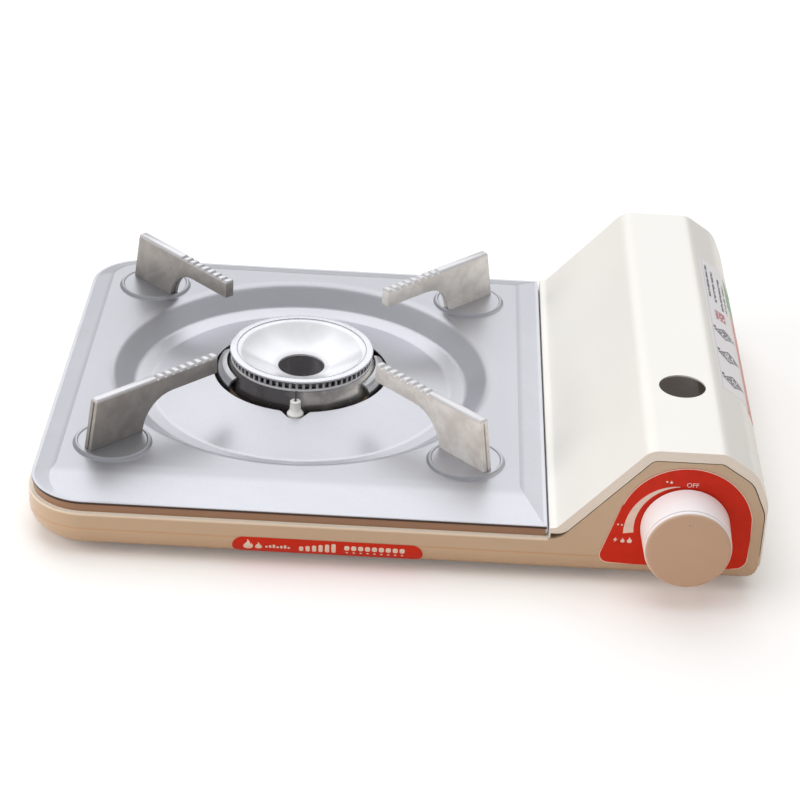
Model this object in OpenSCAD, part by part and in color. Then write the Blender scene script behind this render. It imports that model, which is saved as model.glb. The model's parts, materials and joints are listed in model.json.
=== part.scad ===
// Portable butane cassette stove: a pressed steel case with a burner bay on the
// left and a cartridge bay on the right, a lift-off drip plate with four pan
// supports, and a hinged lid over the cartridge bay.
//
// Millimetres, +X right, +Y back, +Z up. The control knob is on the front.
// The origin is on the table, under the middle of the outer box.

/* [Case] */
// Width of the stove, from the case's left face to the lid's right face
body_w = 348; // [330:1:370]
// Depth of the case, without the knob
body_d = 261.5; // [250:0.5:290]
// Thickness of the case, lid and partition sheet
sheet = 0.8; // [0.6:0.1:1.2]
// Height of the rubber feet
foot_h = 3.5; // [2:0.5:8]
// Height of the case rim above the table
rim_z = 24.1; // [22:0.1:27]
// Radius of the case's bottom edge
bottom_r = 12; // [9:0.5:12]
// Plan radius of the two left corners of the case
corner_r = 29.5; // [20:0.5:40]
// Diameter of a rubber foot
foot_d = 17; // [12:1:22]
// Distance of a foot's centre from the case's faces
foot_inset = 34; // [30:1:45]
// Width of the cartridge bay, from the drip plate to the case's right face
bay_w = 101.5; // [100:0.5:106]

/* [Drip plate] */
// Height of the plate's border above the table
deck_z = 30; // [29:0.5:33]
// Thickness of the plate sheet
plate_t = 0.8; // [0.6:0.1:1]
// How far the case stands out past the plate's edge
plate_lip = 1.5; // [1:0.1:3]
// Height of the hem that is rolled under the plate's edge
hem_h = 1.6; // [1.2:0.1:2.5]
// Width of the hem that is rolled under the plate's edge
hem_w = 1.1; // [1:0.1:2]
// Height of the raised middle of the plate
plateau_h = 3; // [2:0.1:4]
// Width of the sloping border left of the raised middle
plateau_left = 11.3; // [8:0.1:14]
// Width of the sloping border right of the raised middle
plateau_right = 12.7; // [10:0.1:16]
// Width of the sloping border in front of the raised middle
plateau_front = 29.1; // [20:0.1:32]
// Width of the sloping border behind the raised middle
plateau_back = 12.6; // [10:0.1:20]
// Width of the flat rim outside the plate's sloping border
plate_flat = 1.5; // [1.2:0.1:4]
// Radius of the basin's rim
basin_r = 95.4; // [90:0.1:97]
// Depth of the basin below the raised middle
basin_depth = 10.5; // [8:0.5:11]
// Width of the basin's side slope, seen from above
basin_slope = 11; // [8:0.5:16]
// Gap between the burner's bowl and the edge of the hole round it
hole_gap = 5.7; // [4.5:0.1:8]
// Height of the hole's edge above the basin's lowest ring
hole_rise = 9.5; // [5:0.5:11]
// Gap between the electrode's ceramic and the end of its notch
notch_gap = 0.9; // [0.7:0.1:2]
// Width of the notch for the electrode, at the hole's edge
notch_w = 17; // [16:0.5:20]
// How far the round boss under a pan support reaches past the support's foot
boss_margin = 3.65; // [3.65:0.05:4.2]
// Height of the boss's flat above the raised middle
boss_h = 1.1; // [0.8:0.1:2]
// Height of the rounded ring above the boss's flat
boss_ring_h = 0.5; // [0.3:0.1:1]

/* [Pan supports] */
// Height of the pan supports' top edges above the table
support_z = 60.3; // [56:0.1:66]
// Thickness of a folded pan support
support_t = 5; // [4:0.1:6]
// Gap between the two layers of a pan support
support_gap = 0.7; // [0.4:0.1:1]
// Radius of the fold along the top of a pan support
fold_r = 1.2; // [0.8:0.1:1.5]
// Distance from the burner's axis to the tip of a support
support_tip_r = 58; // [50:0.5:70]
// Distance from the burner's axis to the inner end of a support's foot
support_foot_r = 104.9; // [102:0.1:108]
// Distance from the burner's axis to the outer end of a support's foot
support_end_r = 136; // [134:0.5:138]
// Lean of a support's outer end, towards the burner
support_lean = 4.8; // [0:0.1:8]
// Depth of a support's tip
support_tip_h = 9.6; // [8:0.1:14]
// Radius of the curve under a support
throat_r = 18.7; // [14:0.1:19]
// Number of teeth on a support
teeth = 8; // [4:1:9]
// Distance between two teeth
tooth_pitch = 4.7; // [4:0.1:4.9]
// Depth of the notch between two teeth
tooth_h = 1.3; // [0.8:0.1:2]

/* [Burner] */
// How far the burner's axis lies left of the drip plate's middle
burner_off = 1.8; // [0:0.1:2.5]
// Distance from the case's front face to the burner's axis
burner_y = 138.2; // [132:0.1:142]
// Height of the burner cap's rim above the table
cap_z = 44.4; // [42:0.1:50]
// Radius of the burner cap
cap_r = 36.8; // [35:0.1:38]
// Width of the flat rim round the cap's bowl
cap_rim_w = 3.6; // [3:0.1:5]
// Depth of the cap's bowl
bowl_depth = 10; // [8:0.5:11]
// Radius of the hole through the middle of the burner
throat_hole_r = 12; // [10:0.5:13]
// Thickness of the pressed cap
cap_t = 1.3; // [1:0.1:1.8]
// Height of the ring of flame ports
port_ring_h = 4.4; // [4:0.1:5]
// Number of flame ports
ports = 66; // [40:2:72]
// Width of a flame port
port_w = 2.1; // [1:0.1:2.3]
// Height of a flame port
port_h = 3.2; // [2:0.1:3.4]
// Wall of the burner body
burner_wall = 1.5; // [1.2:0.1:2]
// How far the burner body's bowl stands out past the ring of ports
bowl_bulge = 4.5; // [3.5:0.1:4.8]
// Radius of the burner's lower chamber
chamber_r = 22; // [21.5:0.5:24]
// Direction of the mixing tube, in degrees from +X
tube_angle = -38; // [-42:1:-34]
// Outer radius of the mixing tube
tube_r = 7.4; // [7:0.1:7.6]
// Wall of the mixing tube
tube_wall = 0.8; // [0.6:0.1:1]
// Height of the mixing tube's axis above the table
tube_z = 13.6; // [13.6:0.1:14]
// Distance from the burner's axis to the end of the mixing tube
tube_end = 128; // [124:1:132]
// Direction of the burner's bracket, in degrees from +X
strap_angle = -13; // [-14:1:-8]
// Width of the burner's bracket
strap_w = 9; // [8:0.5:10]
// Thickness of the burner's bracket
strap_t = 1.2; // [1:0.1:1.5]
// Gap between the burner body's bowl and the ceramic electrode holder
electrode_gap = 0.7; // [0.4:0.1:0.9]
// Radius of the ceramic's flange
ceramic_r = 4.2; // [4:0.1:4.4]
// Height of the ceramic's top above the table
ceramic_z = 38; // [36:0.1:41]

/* [Lid] */
// Height of the lid's top above the table
lid_z = 74.5; // [73:0.5:80]
// Gap between the drip plate and the lid's left foot
lid_gap = 1; // [0.8:0.1:2]
// Width of the lid's foot, in front of its slope
lid_foot = 3.3; // [3:0.1:6]
// Angle of the lid's slope
lid_slope = 47.8; // [46:0.1:52]
// Width of the shoulder at the right of the lid's top
shoulder_w = 22; // [18:0.5:24]
// Drop of the shoulder's upper bend
shoulder_top = 10.2; // [8:0.1:12]
// Drop of the shoulder's lower bend
shoulder_drop = 25; // [22:0.5:28]
// Width of the lid's front and rear flanges, at the top
flange_w = 5.2; // [4:0.1:6]
// Gap between a flange and the case's upstand
flange_gap = 0.5; // [0.4:0.1:0.8]
// Gap between the lid's right wall and the case
side_gap = 0.4; // [0.3:0.1:0.6]
// Radius of the sight hole
sight_r = 11.3; // [8:0.1:14]
// Distance of the sight hole from the lid's front
sight_y = 63.5; // [55:0.5:80]
// Distance of the lid's hinge from the lid's right face
hinge_in = 4; // [4:0.1:4.5]
// Height of the lid's hinge above the table
hinge_z = 16; // [15.6:0.1:17]
// Radius of the lid's hinge pins
hinge_r = 1.9; // [1.5:0.1:2.2]
// Thickness of the lid's hinge ears
ear_t = 1.2; // [1:0.1:1.5]

/* [Gas train] */
// Radius of a standard butane cartridge
cartridge_r = 33.5; // [33:0.1:34]
// Height of the cartridge's axis above the table
cartridge_z = 39; // [38.6:0.1:39.4]
// Distance of the cartridge's axis from the case's right face
cartridge_in = 38.5; // [38:0.5:40]
// Depth of the face that the cartridge's collar seats on
socket_y = 52; // [51.5:0.5:54]
// Length of a standard cartridge behind its collar
cartridge_len = 186; // [180:1:190]
// Radius of the cartridge's stem
stem_r = 2; // [1.8:0.1:2.2]
// Clearance round the cartridge's stem
stem_clearance = 0.08; // [0.05:0.01:0.1]
// Radius of the magnet holder, as the cartridge's collar
collar_r = 20.6; // [20:0.1:21.5]
// Number of magnets in the holder
magnets = 3; // [3:1:4]
// Radius of the regulator
regulator_r = 19.5; // [18:0.5:20]
// Height of the regulator's lower face above the table
regulator_z = 51; // [50:0.5:52]
// Outer radius of the gas pipe
pipe_r = 2.5; // [2:0.1:3]
// Running clearance of pins, shafts and plungers
running = 0.05; // [0.03:0.01:0.09]

/* [Control] */
// Radius of the control knob
knob_r = 20.2; // [17:0.1:21]
// How much wider the knob is at its back
knob_draft = 0.7; // [0:0.1:1.2]
// How far the knob stands out of the case's front
knob_out = 21.4; // [16:0.1:26]
// Gap between the knob and the front panel
knob_gap = 0.9; // [0.6:0.1:1.5]
// Radius of the knob's front edge
knob_edge_r = 1.8; // [1:0.1:3]
// Distance of the knob's axis from the case's right face
knob_in = 37.5; // [37:0.5:39]
// Height of the knob's axis above the table
knob_z = 34.7; // [34:0.1:36]
// Radius of the valve spindle
spindle_r = 3.9; // [3.5:0.1:4.5]
// Turn of the knob from off to ignition
knob_turn = 118; // [90:1:130]
// Radius of the ignition cam at the off position
cam_r = 11.5; // [10.5:0.1:12.5]
// Rise of the ignition cam over the knob's turn
cam_rise = 5; // [3:0.5:5.5]
// Thickness of the printed decals
decal_t = 0.25; // [0.2:0.05:0.5]
// Radius of the round part of the control decal
decal_r = 31.6; // [28:0.1:32]
// Length of the front label
label_w = 89.7; // [60:0.1:120]
// Distance of the front label from the case's left face
label_x = 99.5; // [60:0.5:130]

/* [Hidden] */
$fn = 64;

steel = "#C9CAD0";
cream = "#EFEBE0";
brass = "#C9A45A";

// ---- places -------------------------------------------------------------
case_w = body_w - sheet - side_gap;
floor_z = foot_h + sheet;
seat_z = deck_z - hem_h;
step_in = plate_lip + 0.5;
plate_w = body_w - bay_w - plate_lip;
burner_x = plate_lip + plate_w / 2 - burner_off;
bay_x = plate_lip + plate_w + 0.3;
plateau_z = deck_z + plateau_h;
boss_z = plateau_z + boss_h;
low_z = plateau_z - basin_depth;
low_r = basin_r - basin_slope;
hole_z = low_z + hole_rise;
hinge_x = body_w - hinge_in;
ear_y = sheet + 0.7;
pin_head_y = ear_y + ear_t + 0.2;
pin_head_t = 1;
ear_slot = pin_head_y + pin_head_t + 0.5;
tube_start = chamber_r - burner_wall;
return_w = 5;
bell_r = tube_r + 0.8;
bell_len = 16;
ring_z = cap_z - cap_t - port_ring_h;
body_r = cap_r - 2;
bowl_out = body_r + bowl_bulge;
electrode_r = bowl_out + electrode_gap + ceramic_r;
burner_hole_r = bowl_out + hole_gap;
notch_r = electrode_r + ceramic_r + notch_gap;
cam_y = 5;
cam_t = 4;
plate_y = cam_y + cam_t + 3;
bracket_t = 1.2;
nose_y = plate_y - 2;
body_back = socket_y - 10;
piezo_h = 10;
cartridge_x = body_w - cartridge_in;
knob_x = body_w - knob_in;
piezo_left = knob_x - cam_r - 30;
piezo_len = 22;
piezo_y = cam_y + cam_t / 2;
plunger_r = 2.5;
step_gap = 0.3;

// ---- helpers ------------------------------------------------------------
// Moves a stove drawn from the case's front left corner to the origin
module stand() {
    translate([-body_w / 2, -(body_d - knob_out) / 2, 0]) children();
}
// Extrudes a (y, z) shape along +X
module along_x(len) {
    rotate([90, 0, 90]) linear_extrude(len) children();
}
// Extrudes an (x, z) shape along +Y
module along_y(len) {
    translate([0, len, 0]) rotate([90, 0, 0]) linear_extrude(len) children();
}
// A rod along +X or +Y from a point
module rod_x(p, len, r) {
    translate(p) rotate([0, 90, 0]) cylinder(h = len, r = r);
}
module rod_y(p, len, r) {
    translate(p) rotate([-90, 0, 0]) cylinder(h = len, r = r);
}
// A piece and its mirror image about the case's middle depth
module front_and_rear() {
    children();
    translate([0, body_d, 0]) mirror([0, 1, 0]) children();
}
module at_burner(angle = 0) {
    translate([burner_x, burner_y, 0]) rotate([0, 0, angle]) children();
}
// A round rod through a list of points, one ring of sides at each point
function along(p, i) = unit(i == 0 ? p[1] - p[0] :
    i == len(p) - 1 ? p[i] - p[i - 1] : unit(p[i + 1] - p[i]) + unit(p[i] - p[i - 1]));
function across(t) = unit(abs(t[2]) > 0.9 ? cross(t, [0, 1, 0]) : cross(t, [0, 0, 1]));
// The side vectors turn as little as they can from one ring to the next
function side_at(p, i) = i == 0 ? across(along(p, 0)) :
    let (t = along(p, i), s = side_at(p, i - 1)) unit(s - t * (s * t));
module bent_rod(p, r, sides = 10) {
    rings = [for (i = [0 : len(p) - 1]) let (t = along(p, i), s = side_at(p, i), u = cross(t, s))
        for (k = [0 : sides - 1]) p[i] + r * (s * cos(k * 360 / sides) + u * sin(k * 360 / sides))];
    last = (len(p) - 1) * sides;
    polyhedron(rings, concat(
        [for (i = [0 : len(p) - 2], k = [0 : sides - 1]) let (n = (k + 1) % sides)
            [i * sides + k, (i + 1) * sides + k, (i + 1) * sides + n, i * sides + n]],
        [[for (k = [0 : sides - 1]) k]],
        [[for (k = [sides - 1 : -1 : 0]) last + k]]));
}
// Points along a path whose corners are rounded with the radius r
function corner_arc(a, b, c, r, n = 5) = let (u = unit(a - b), v = unit(c - b),
    half = acos(u * v) / 2, mid = b + unit(u + v) * r / sin(half),
    s = b + u * r / tan(half) - mid, e = b + v * r / tan(half) - mid, sweep = 180 - 2 * half)
    sweep < 1 ? [b] :
    [for (i = [0 : n]) mid + (s * sin(sweep * (1 - i / n)) + e * sin(sweep * i / n)) / sin(sweep)];
function rounded_path(p, r) = concat([p[0]],
    [for (i = [1 : len(p) - 2]) each corner_arc(p[i - 1], p[i], p[i + 1], r)], [p[len(p) - 1]]);

// Rounded chains: corners are [x, z, radius]
function unit(v) = v / norm(v);
function in_normal(a, b) = let (u = unit([b[0] - a[0], b[1] - a[1]])) [u[1], -u[0]];
function meet(n1, d1, n2, d2) = let (det = n1[0] * n2[1] - n1[1] * n2[0])
    [(d1 * n2[1] - d2 * n1[1]) / det, (n1[0] * d2 - n2[0] * d1) / det];
function turn_of(a, b, c) = let (u = unit([b[0] - a[0], b[1] - a[1]]),
    v = unit([c[0] - b[0], c[1] - b[1]])) atan2(u[0] * v[1] - u[1] * v[0], u * v);
// Moves each edge of a chain inwards by its own distance
function edge_shift(c, d) = [for (i = [0 : len(c) - 1])
    i == 0 ? let (n = in_normal(c[0], c[1])) [c[0][0] + n[0] * d[0], c[0][1] + n[1] * d[0], 0] :
    i == len(c) - 1 ? let (n = in_normal(c[i - 1], c[i]))
        [c[i][0] + n[0] * d[i - 1], c[i][1] + n[1] * d[i - 1], 0] :
    let (m = meet(in_normal(c[i - 1], c[i]), d[i - 1], in_normal(c[i], c[i + 1]), d[i]),
        side = turn_of(c[i - 1], c[i], c[i + 1]) > 0 ? 1 : -1,
        mean = (d[i - 1] + d[i]) / 2)
    [c[i][0] + m[0], c[i][1] + m[1], max(0.3, c[i][2] + side * mean)]];
// The points of one rounded bend
function bend(a, b, c, n = 6) = let (turn = turn_of(a, b, c), r = b[2],
    u = unit([a[0] - b[0], a[1] - b[1]]), v = unit([c[0] - b[0], c[1] - b[1]]),
    mid = [b[0], b[1]] + unit(u + v) * r / cos(turn / 2),
    from = [b[0], b[1]] + u * r * tan(abs(turn) / 2) - mid,
    start = atan2(from[1], from[0]))
    [for (i = [0 : n]) mid + r * [cos(start + turn * i / n), sin(start + turn * i / n)]];
function rounded(c) = [for (i = [0 : len(c) - 1]) each
    (i == 0 || i == len(c) - 1 || c[i][2] == 0) ? [[c[i][0], c[i][1]]] :
    bend(c[i - 1], c[i], c[i + 1])];
function reversed(p) = [for (i = [len(p) - 1 : -1 : 0]) p[i]];

// ---- lid and upstand outlines, seen from the front -----------------------
lid_x = plate_lip + plate_w + lid_gap;
lid_rise = lid_z - deck_z;
slope_top_x = lid_x + lid_foot + lid_rise / tan(lid_slope);
lid_chain = [
    [lid_x, rim_z + 0.5, 0],
    [lid_x, deck_z, 0.9],
    [lid_x + lid_foot, deck_z, 4],
    [slope_top_x, lid_z, 10],
    [body_w - shoulder_w, lid_z, 9],
    [body_w - 6.5, lid_z - shoulder_top, 16],
    [body_w, lid_z - shoulder_drop, 16],
    [body_w, hinge_z + hinge_in, 0]];
function same_shift(d) = [for (i = [0 : len(lid_chain) - 2]) d];
// The upstand follows the lid at the flange's width, and narrows down the right side
upstand_chain = edge_shift(lid_chain, [-8, deck_z - rim_z, flange_w, flange_w + 0.4,
    flange_w, flange_w * 0.7, sheet + side_gap]);
upstand_edge = concat([for (i = [1 : 6]) upstand_chain[i]], [[case_w, rim_z - sheet, 0]]);
flange_chain = edge_shift(lid_chain,
    [sheet, 2.8, flange_w - flange_gap, flange_w + 0.4 - flange_gap,
    flange_w - flange_gap, flange_w * 0.7 - flange_gap, sheet]);
module lid_skin(d0, d1) {
    polygon(concat(rounded(edge_shift(lid_chain, same_shift(d0))),
        reversed(rounded(edge_shift(lid_chain, same_shift(d1))))));
}

// ---- case ---------------------------------------------------------------
// Plan outline of the case or of a shape set in from its faces
module plan(inset, right) {
    translate([corner_r, inset]) square([right - corner_r, body_d - 2 * inset]);
    translate([inset, corner_r]) square([corner_r, body_d - 2 * corner_r]);
    for (y = [corner_r, body_d - corner_r]) translate([corner_r, y]) circle(corner_r - inset);
}
// A rectangle from the origin with its lower right corner rounded
function foot_points(w, h, r) = concat([[0, 0]],
    [for (a = [-90 : 11.25 : 0]) [w - r + r * cos(a), r + r * sin(a)]], [[w, h], [0, h]]);
module foot_profile(w, h, r) {
    polygon(foot_points(w, h, r));
}
// The case's solid form, set in by inset, from the height z0 to z1
module tray(inset, z0, z1) {
    r = bottom_r - inset;
    h = z1 - z0;
    half = body_d / 2 - inset;
    intersection() {
        translate([0, 0, z0]) union() {
            for (end = [[corner_r, 180], [body_d - corner_r, 90]])
                translate([corner_r, end[0], 0]) rotate([0, 0, end[1]])
                    rotate_extrude(angle = 90) foot_profile(corner_r - inset, h, r);
            translate([corner_r, corner_r, 0]) along_y(body_d - 2 * corner_r)
                mirror([1, 0]) foot_profile(corner_r - inset, h, r);
            translate([corner_r, body_d / 2, 0]) along_x(case_w - corner_r)
                polygon(concat(foot_points(half, h, r),
                    reversed([for (p = foot_points(half, h, r)) [-p[0], p[1]]])));
        }
        translate([-1, -1, z0]) along_y(body_d + 2)
            foot_profile(case_w - inset + 1, h, r);
    }
}
module upstand() {
    along_y(sheet) polygon(concat(rounded(upstand_edge), [[upstand_edge[0][0], rim_z - sheet]]));
    // the edge is turned back to stiffen the upstand
    along_y(return_w) polygon(concat(rounded(upstand_edge),
        reversed(rounded(edge_shift(upstand_edge, [for (i = [1 : 6]) sheet])))));
}
vent_w = 4.5;
vent_l = 34;
module lower_case() color(cream) stand() difference() {
    union() {
        difference() {
            tray(0, foot_h, rim_z);
            tray(sheet, floor_z, rim_z + 1);
        }
        // the ledge, and the step that the drip plate stands on
        translate([0, 0, rim_z - sheet]) linear_extrude(sheet) difference() {
            plan(sheet / 2, bay_x - 1);
            plan(step_in + sheet / 2, bay_x);
        }
        translate([0, 0, rim_z - sheet]) linear_extrude(seat_z - rim_z + sheet) difference() {
            plan(step_in, bay_x - 1);
            plan(step_in + sheet, bay_x);
        }
        front_and_rear() upstand();
    }
    front_and_rear() {
        rod_y([hinge_x, -1, hinge_z], sheet + 2, hinge_r);
        translate([case_w - sheet - 1, sheet, hinge_z - hinge_in - 1])
            cube([sheet + 2, ear_slot - sheet, rim_z - hinge_z + hinge_in + 2]);
    }
    rod_y([knob_x, -1, knob_z], sheet + 2, spindle_r + 1.6);
    for (x = feet_x, y = feet_y) translate([x, y, foot_h - 1]) cylinder(h = 3, r = neck_r);
    for (p = screw_places) translate([p[0], p[1], foot_h - 1]) cylinder(h = 3, r = screw_r);
    at_burner(strap_angle) for (s = [-1, 1]) translate([s * burner_screw_r, 0, foot_h - 1])
        cylinder(h = 3, r = screw_r);
    // air comes in through slots under the burner
    at_burner() for (i = [0 : 7]) rotate([0, 0, 22.5 + 45 * i])
        translate([50, -vent_w / 2, foot_h - 1]) cube([vent_l, vent_w, 3]);
}

// ---- feet, partition, cradle ---------------------------------------------
neck_r = 3;
bead_r = neck_r + 1;
bead_h = 1;
feet_x = [foot_inset, case_w - foot_inset];
feet_y = [foot_inset, body_d - foot_inset];
module rubber_feet() color("#2B2B2B") stand()
    for (x = feet_x, y = feet_y) translate([x, y, 0]) {
        cylinder(h = foot_h, r1 = foot_d / 2 - 0.8, r2 = foot_d / 2);
        cylinder(h = floor_z + bead_h, r = neck_r);
        translate([0, 0, floor_z]) cylinder(h = bead_h, r = bead_r);
    }

lead_hole = [24, 12];
module bay_partition() color(steel) stand() difference() {
    intersection() {
        union() {
            translate([bay_x - sheet, 0, floor_z]) cube([sheet, body_d, seat_z - floor_z]);
            translate([bay_x - 9, 0, seat_z - sheet]) cube([9, body_d, sheet]);
            translate([bay_x - sheet, 0, rim_z - sheet]) cube([7, body_d, sheet]);
            translate([bay_x - 12, 0, floor_z]) cube([12, body_d, sheet]);
        }
        tray(step_in + sheet + 0.2, floor_z, deck_z);
    }
    // the gas pipe and the ignition lead pass through
    pipe_at_wall = burner_y + (bay_x - burner_x) * tan(tube_angle);
    rod_x([bay_x - 3, pipe_at_wall, tube_z], 6, pipe_r + 3);
    rod_x([bay_x - 3, lead_hole[0], lead_hole[1]], 6, 3);
    // its corners clear the turned edges of the upstands
    front_and_rear() translate([bay_x - 10, 0, rim_z - 2 * sheet])
        cube([20, return_w + step_gap, 3 * sheet]);
}

cradle_w = 50;
cradle_y = [socket_y + 38, socket_y + cartridge_len - 28];
module cartridge_cradle() color(steel) stand() {
    translate([cartridge_x - cradle_w / 2, cradle_y[0] - 12, floor_z])
        cube([cradle_w, cradle_y[1] - cradle_y[0] + 24, sheet]);
    for (y = cradle_y) translate([0, y, 0]) along_y(2) difference() {
        translate([cartridge_x - cradle_w / 2, floor_z]) square([cradle_w, 13]);
        translate([cartridge_x, cartridge_z]) circle(cartridge_r + step_gap);
    }
}

// ---- decals -------------------------------------------------------------
// The film's left side slopes out from the round part, its right side drops straight
// down beside the lid's hinge pin
decal_lean = 71.7;
decal_low = 22;
decal_right = min(decal_r, knob_in - hinge_in - hinge_r - 0.5);
decal_side = decal_r * [-sin(decal_lean), cos(decal_lean)];
module control_decal() color("#C42E1C") stand() translate([knob_x, -decal_t, knob_z])
    along_y(decal_t) difference() {
        intersection() {
            union() {
                circle(decal_r);
                polygon(rounded([[0, -decal_low, 0],
                    [decal_side[0] - (decal_low + decal_side[1]) / tan(decal_lean), -decal_low, 4.5],
                    [decal_side[0], decal_side[1], 0], [0, 0, 0]]));
                polygon(rounded([[0, 0, 0], [decal_right, 0, 0], [decal_right, -decal_low, 6],
                    [0, -decal_low, 0]]));
            }
            translate([-2 * decal_r, -decal_low])
                square([2 * decal_r + decal_right, 3 * decal_r]);
        }
        circle(spindle_r + 3);
    }
label_z = [5.6, 16.3];
module front_label() color("#C42E1C") stand() intersection() {
    difference() {
        tray_front(-decal_t);
        tray_front(0);
    }
    translate([0, -2, 0]) along_y(bottom_r) union() {
        r = (label_z[1] - label_z[0]) / 2;
        mid = (label_z[1] + label_z[0]) / 2;
        translate([label_x + r, label_z[0]]) square([label_w - 2 * r, 2 * r]);
        for (x = [label_x + r, label_x + label_w - r]) translate([x, mid]) circle(r);
    }
}
// A long block with the front face and bottom edge of the case
module tray_front(inset) {
    translate([corner_r, bottom_r, foot_h]) along_x(case_w / 2 + corner_r)
        mirror([1, 0]) translate([0, inset]) foot_profile(bottom_r - inset,
            rim_z - foot_h, bottom_r - inset);
}

// ---- drip plate ----------------------------------------------------------
module plate_plan(grow) {
    right = plate_lip + plate_w;
    intersection() {
        plan(plate_lip - grow, right + grow);
        square([right + grow, body_d]);
    }
}
// The raised middle of the plate, with a sloping border on all four sides that goes
// round the two left corners as a cone
module raised_middle() {
    deep = body_d - 2 * plate_lip;
    turn = corner_r - plate_lip;
    ease = 0.3;
    run = (plateau_left - plate_flat) / plateau_h;
    difference() {
        intersection() {
            along_x(plate_w) polygon([[plate_flat, 0], [deep - plate_flat, 0],
                [deep - plateau_back, plateau_h], [plateau_front, plateau_h]]);
            along_y(deep) polygon([[plate_flat, 0], [plate_w - plate_flat, 0],
                [plate_w - plateau_right, plateau_h], [plateau_left, plateau_h]]);
        }
        for (y = [0, 1]) translate([turn, y ? deep - turn : turn, -1]) difference() {
            translate([-turn, y ? 0 : -turn, 0]) cube([turn, turn, plateau_h + 2]);
            cylinder(h = plateau_h + 2, r1 = turn - plate_flat + run + ease,
                r2 = turn - plateau_left - run + ease);
        }
    }
}
basin_edge = basin_r + 5;
basin_chain = [[basin_edge, plateau_z, 0], [basin_r + 1.5, plateau_z, 9],
    [low_r + 1, low_z + 1.2, 5], [low_r - 7.5, low_z, 6], [burner_hole_r, hole_z, 0]];
boss_r = (support_end_r - support_foot_r) / 2 + boss_margin;
boss_at = ((support_foot_r + support_end_r) / 2 + 0.6) * cos(45);
// Everything under the plate's upper surface
module plate_form(grow) {
    difference() {
        union() {
            translate([0, 0, seat_z - 12]) linear_extrude(deck_z - seat_z + 12) plate_plan(grow);
            translate([plate_lip, plate_lip, deck_z]) raised_middle();
            for (sx = [-1, 1], sy = [-1, 1])
                translate([burner_x + sx * boss_at, burner_y + sy * boss_at, plateau_z])
                    rotate_extrude() polygon([[0, -1], [boss_r, -1], [boss_r, 0],
                        [boss_r - 0.8, boss_h + 0.1], [boss_r - 1.4, boss_h + boss_ring_h],
                        [boss_r - 2, boss_h + boss_ring_h], [boss_r - 2.6, boss_h],
                        [0, boss_h]]);
        }
        translate([burner_x, burner_y, 0]) rotate_extrude() polygon(concat(
            rounded(basin_chain), [[0, hole_z], [0, plateau_z + 20],
            [basin_edge, plateau_z + 20]]));
    }
}
// The notch flows into the hole's edge with two S-shaped shoulders
notch_end_w = 4;
notch_steps = 8;
module notch_plan() {
    edge_y = sqrt(pow(burner_hole_r, 2) - pow(notch_w / 2, 2));
    side = [for (i = [0 : notch_steps]) let (f = i / notch_steps)
        [notch_end_w / 2 + (notch_w - notch_end_w) / 2 * f,
        -notch_r + (notch_r - edge_y) * (1 - cos(180 * f)) / 2]];
    polygon(concat(side, [[notch_w / 2, -burner_hole_r / 2], [-notch_w / 2, -burner_hole_r / 2]],
        [for (i = [notch_steps : -1 : 0]) [-side[i][0], side[i][1]]]));
}
tab_l = 8;
tab_r = [support_foot_r + 5, support_end_r - 13];
tab_fit = 0.1;
module top_plate() color("#D4D5DA") stand() difference() {
    union() {
        difference() {
            plate_form(0);
            translate([0, 0, -plate_t]) plate_form(1);
        }
        translate([0, 0, seat_z]) linear_extrude(hem_h) difference() {
            plate_plan(0);
            plate_plan(-hem_w);
        }
    }
    at_burner() {
        cylinder(h = 60, r = burner_hole_r);
        linear_extrude(60) notch_plan();
    }
    for (a = [45 : 90 : 315], r = tab_r) at_burner(a)
        translate([r - tab_fit, -support_t / 2 - tab_fit, 0])
            cube([tab_l + 2 * tab_fit, support_t + 2 * tab_fit, 60]);
}

// ---- pan supports ---------------------------------------------------------
teeth_r = support_tip_r + teeth * tooth_pitch;
module support_profile() {
    arc_x = support_foot_r - throat_r;
    arc_z = support_z - support_tip_h - throat_r;
    polygon(concat(
        [[support_end_r, boss_z], [support_end_r - support_lean, support_z]],
        [for (i = [0 : teeth - 1]) each let (r = teeth_r - i * tooth_pitch)
            [[r, support_z], [r - 0.3, support_z - tooth_h],
            [r - 1.5, support_z - tooth_h], [r - 2.4, support_z]]],
        [[support_tip_r, support_z], [support_tip_r, support_z - support_tip_h],
            [arc_x, support_z - support_tip_h]],
        [for (a = [80 : -10 : 10]) [arc_x + throat_r * cos(a), arc_z + throat_r * sin(a)]],
        [[support_foot_r, max(boss_z, arc_z)], [support_foot_r, boss_z]]));
}
// A support is one strip, folded along its top edge, with two tabs through the plate
module pan_support(angle) color("#A8A29A") stand() at_burner(angle) difference() {
    intersection() {
        translate([0, -support_t / 2, 0]) along_y(support_t) {
            support_profile();
            for (r = tab_r) translate([r, boss_z - plate_t - 1.4]) square([tab_l, plate_t + 1.5]);
        }
        translate([support_tip_r - 1, 0, 0]) along_x(support_end_r - support_tip_r + 2)
            polygon(concat([[-support_t / 2, 0], [support_t / 2, 0]],
                [for (s = [1, -1], i = [0 : 3]) let (a = s > 0 ? i * 30 : 90 - i * 30)
                    [s * (support_t / 2 - fold_r + fold_r * cos(a)),
                    support_z - fold_r + fold_r * sin(a)]]));
    }
    translate([support_tip_r + 2, -support_gap / 2, 0])
        cube([support_end_r, support_gap, support_z - (support_t - support_gap) / 2]);
}
module support_washers() color(steel) stand()
    for (a = [45 : 90 : 315], r = tab_r) at_burner(a) difference() {
        translate([r + tab_l / 2, 0, boss_z - plate_t - 0.9]) cylinder(h = 0.9, r = 6);
        translate([r - tab_fit, -support_t / 2 - tab_fit, 0])
            cube([tab_l + 2 * tab_fit, support_t + 2 * tab_fit, 60]);
    }

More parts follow.
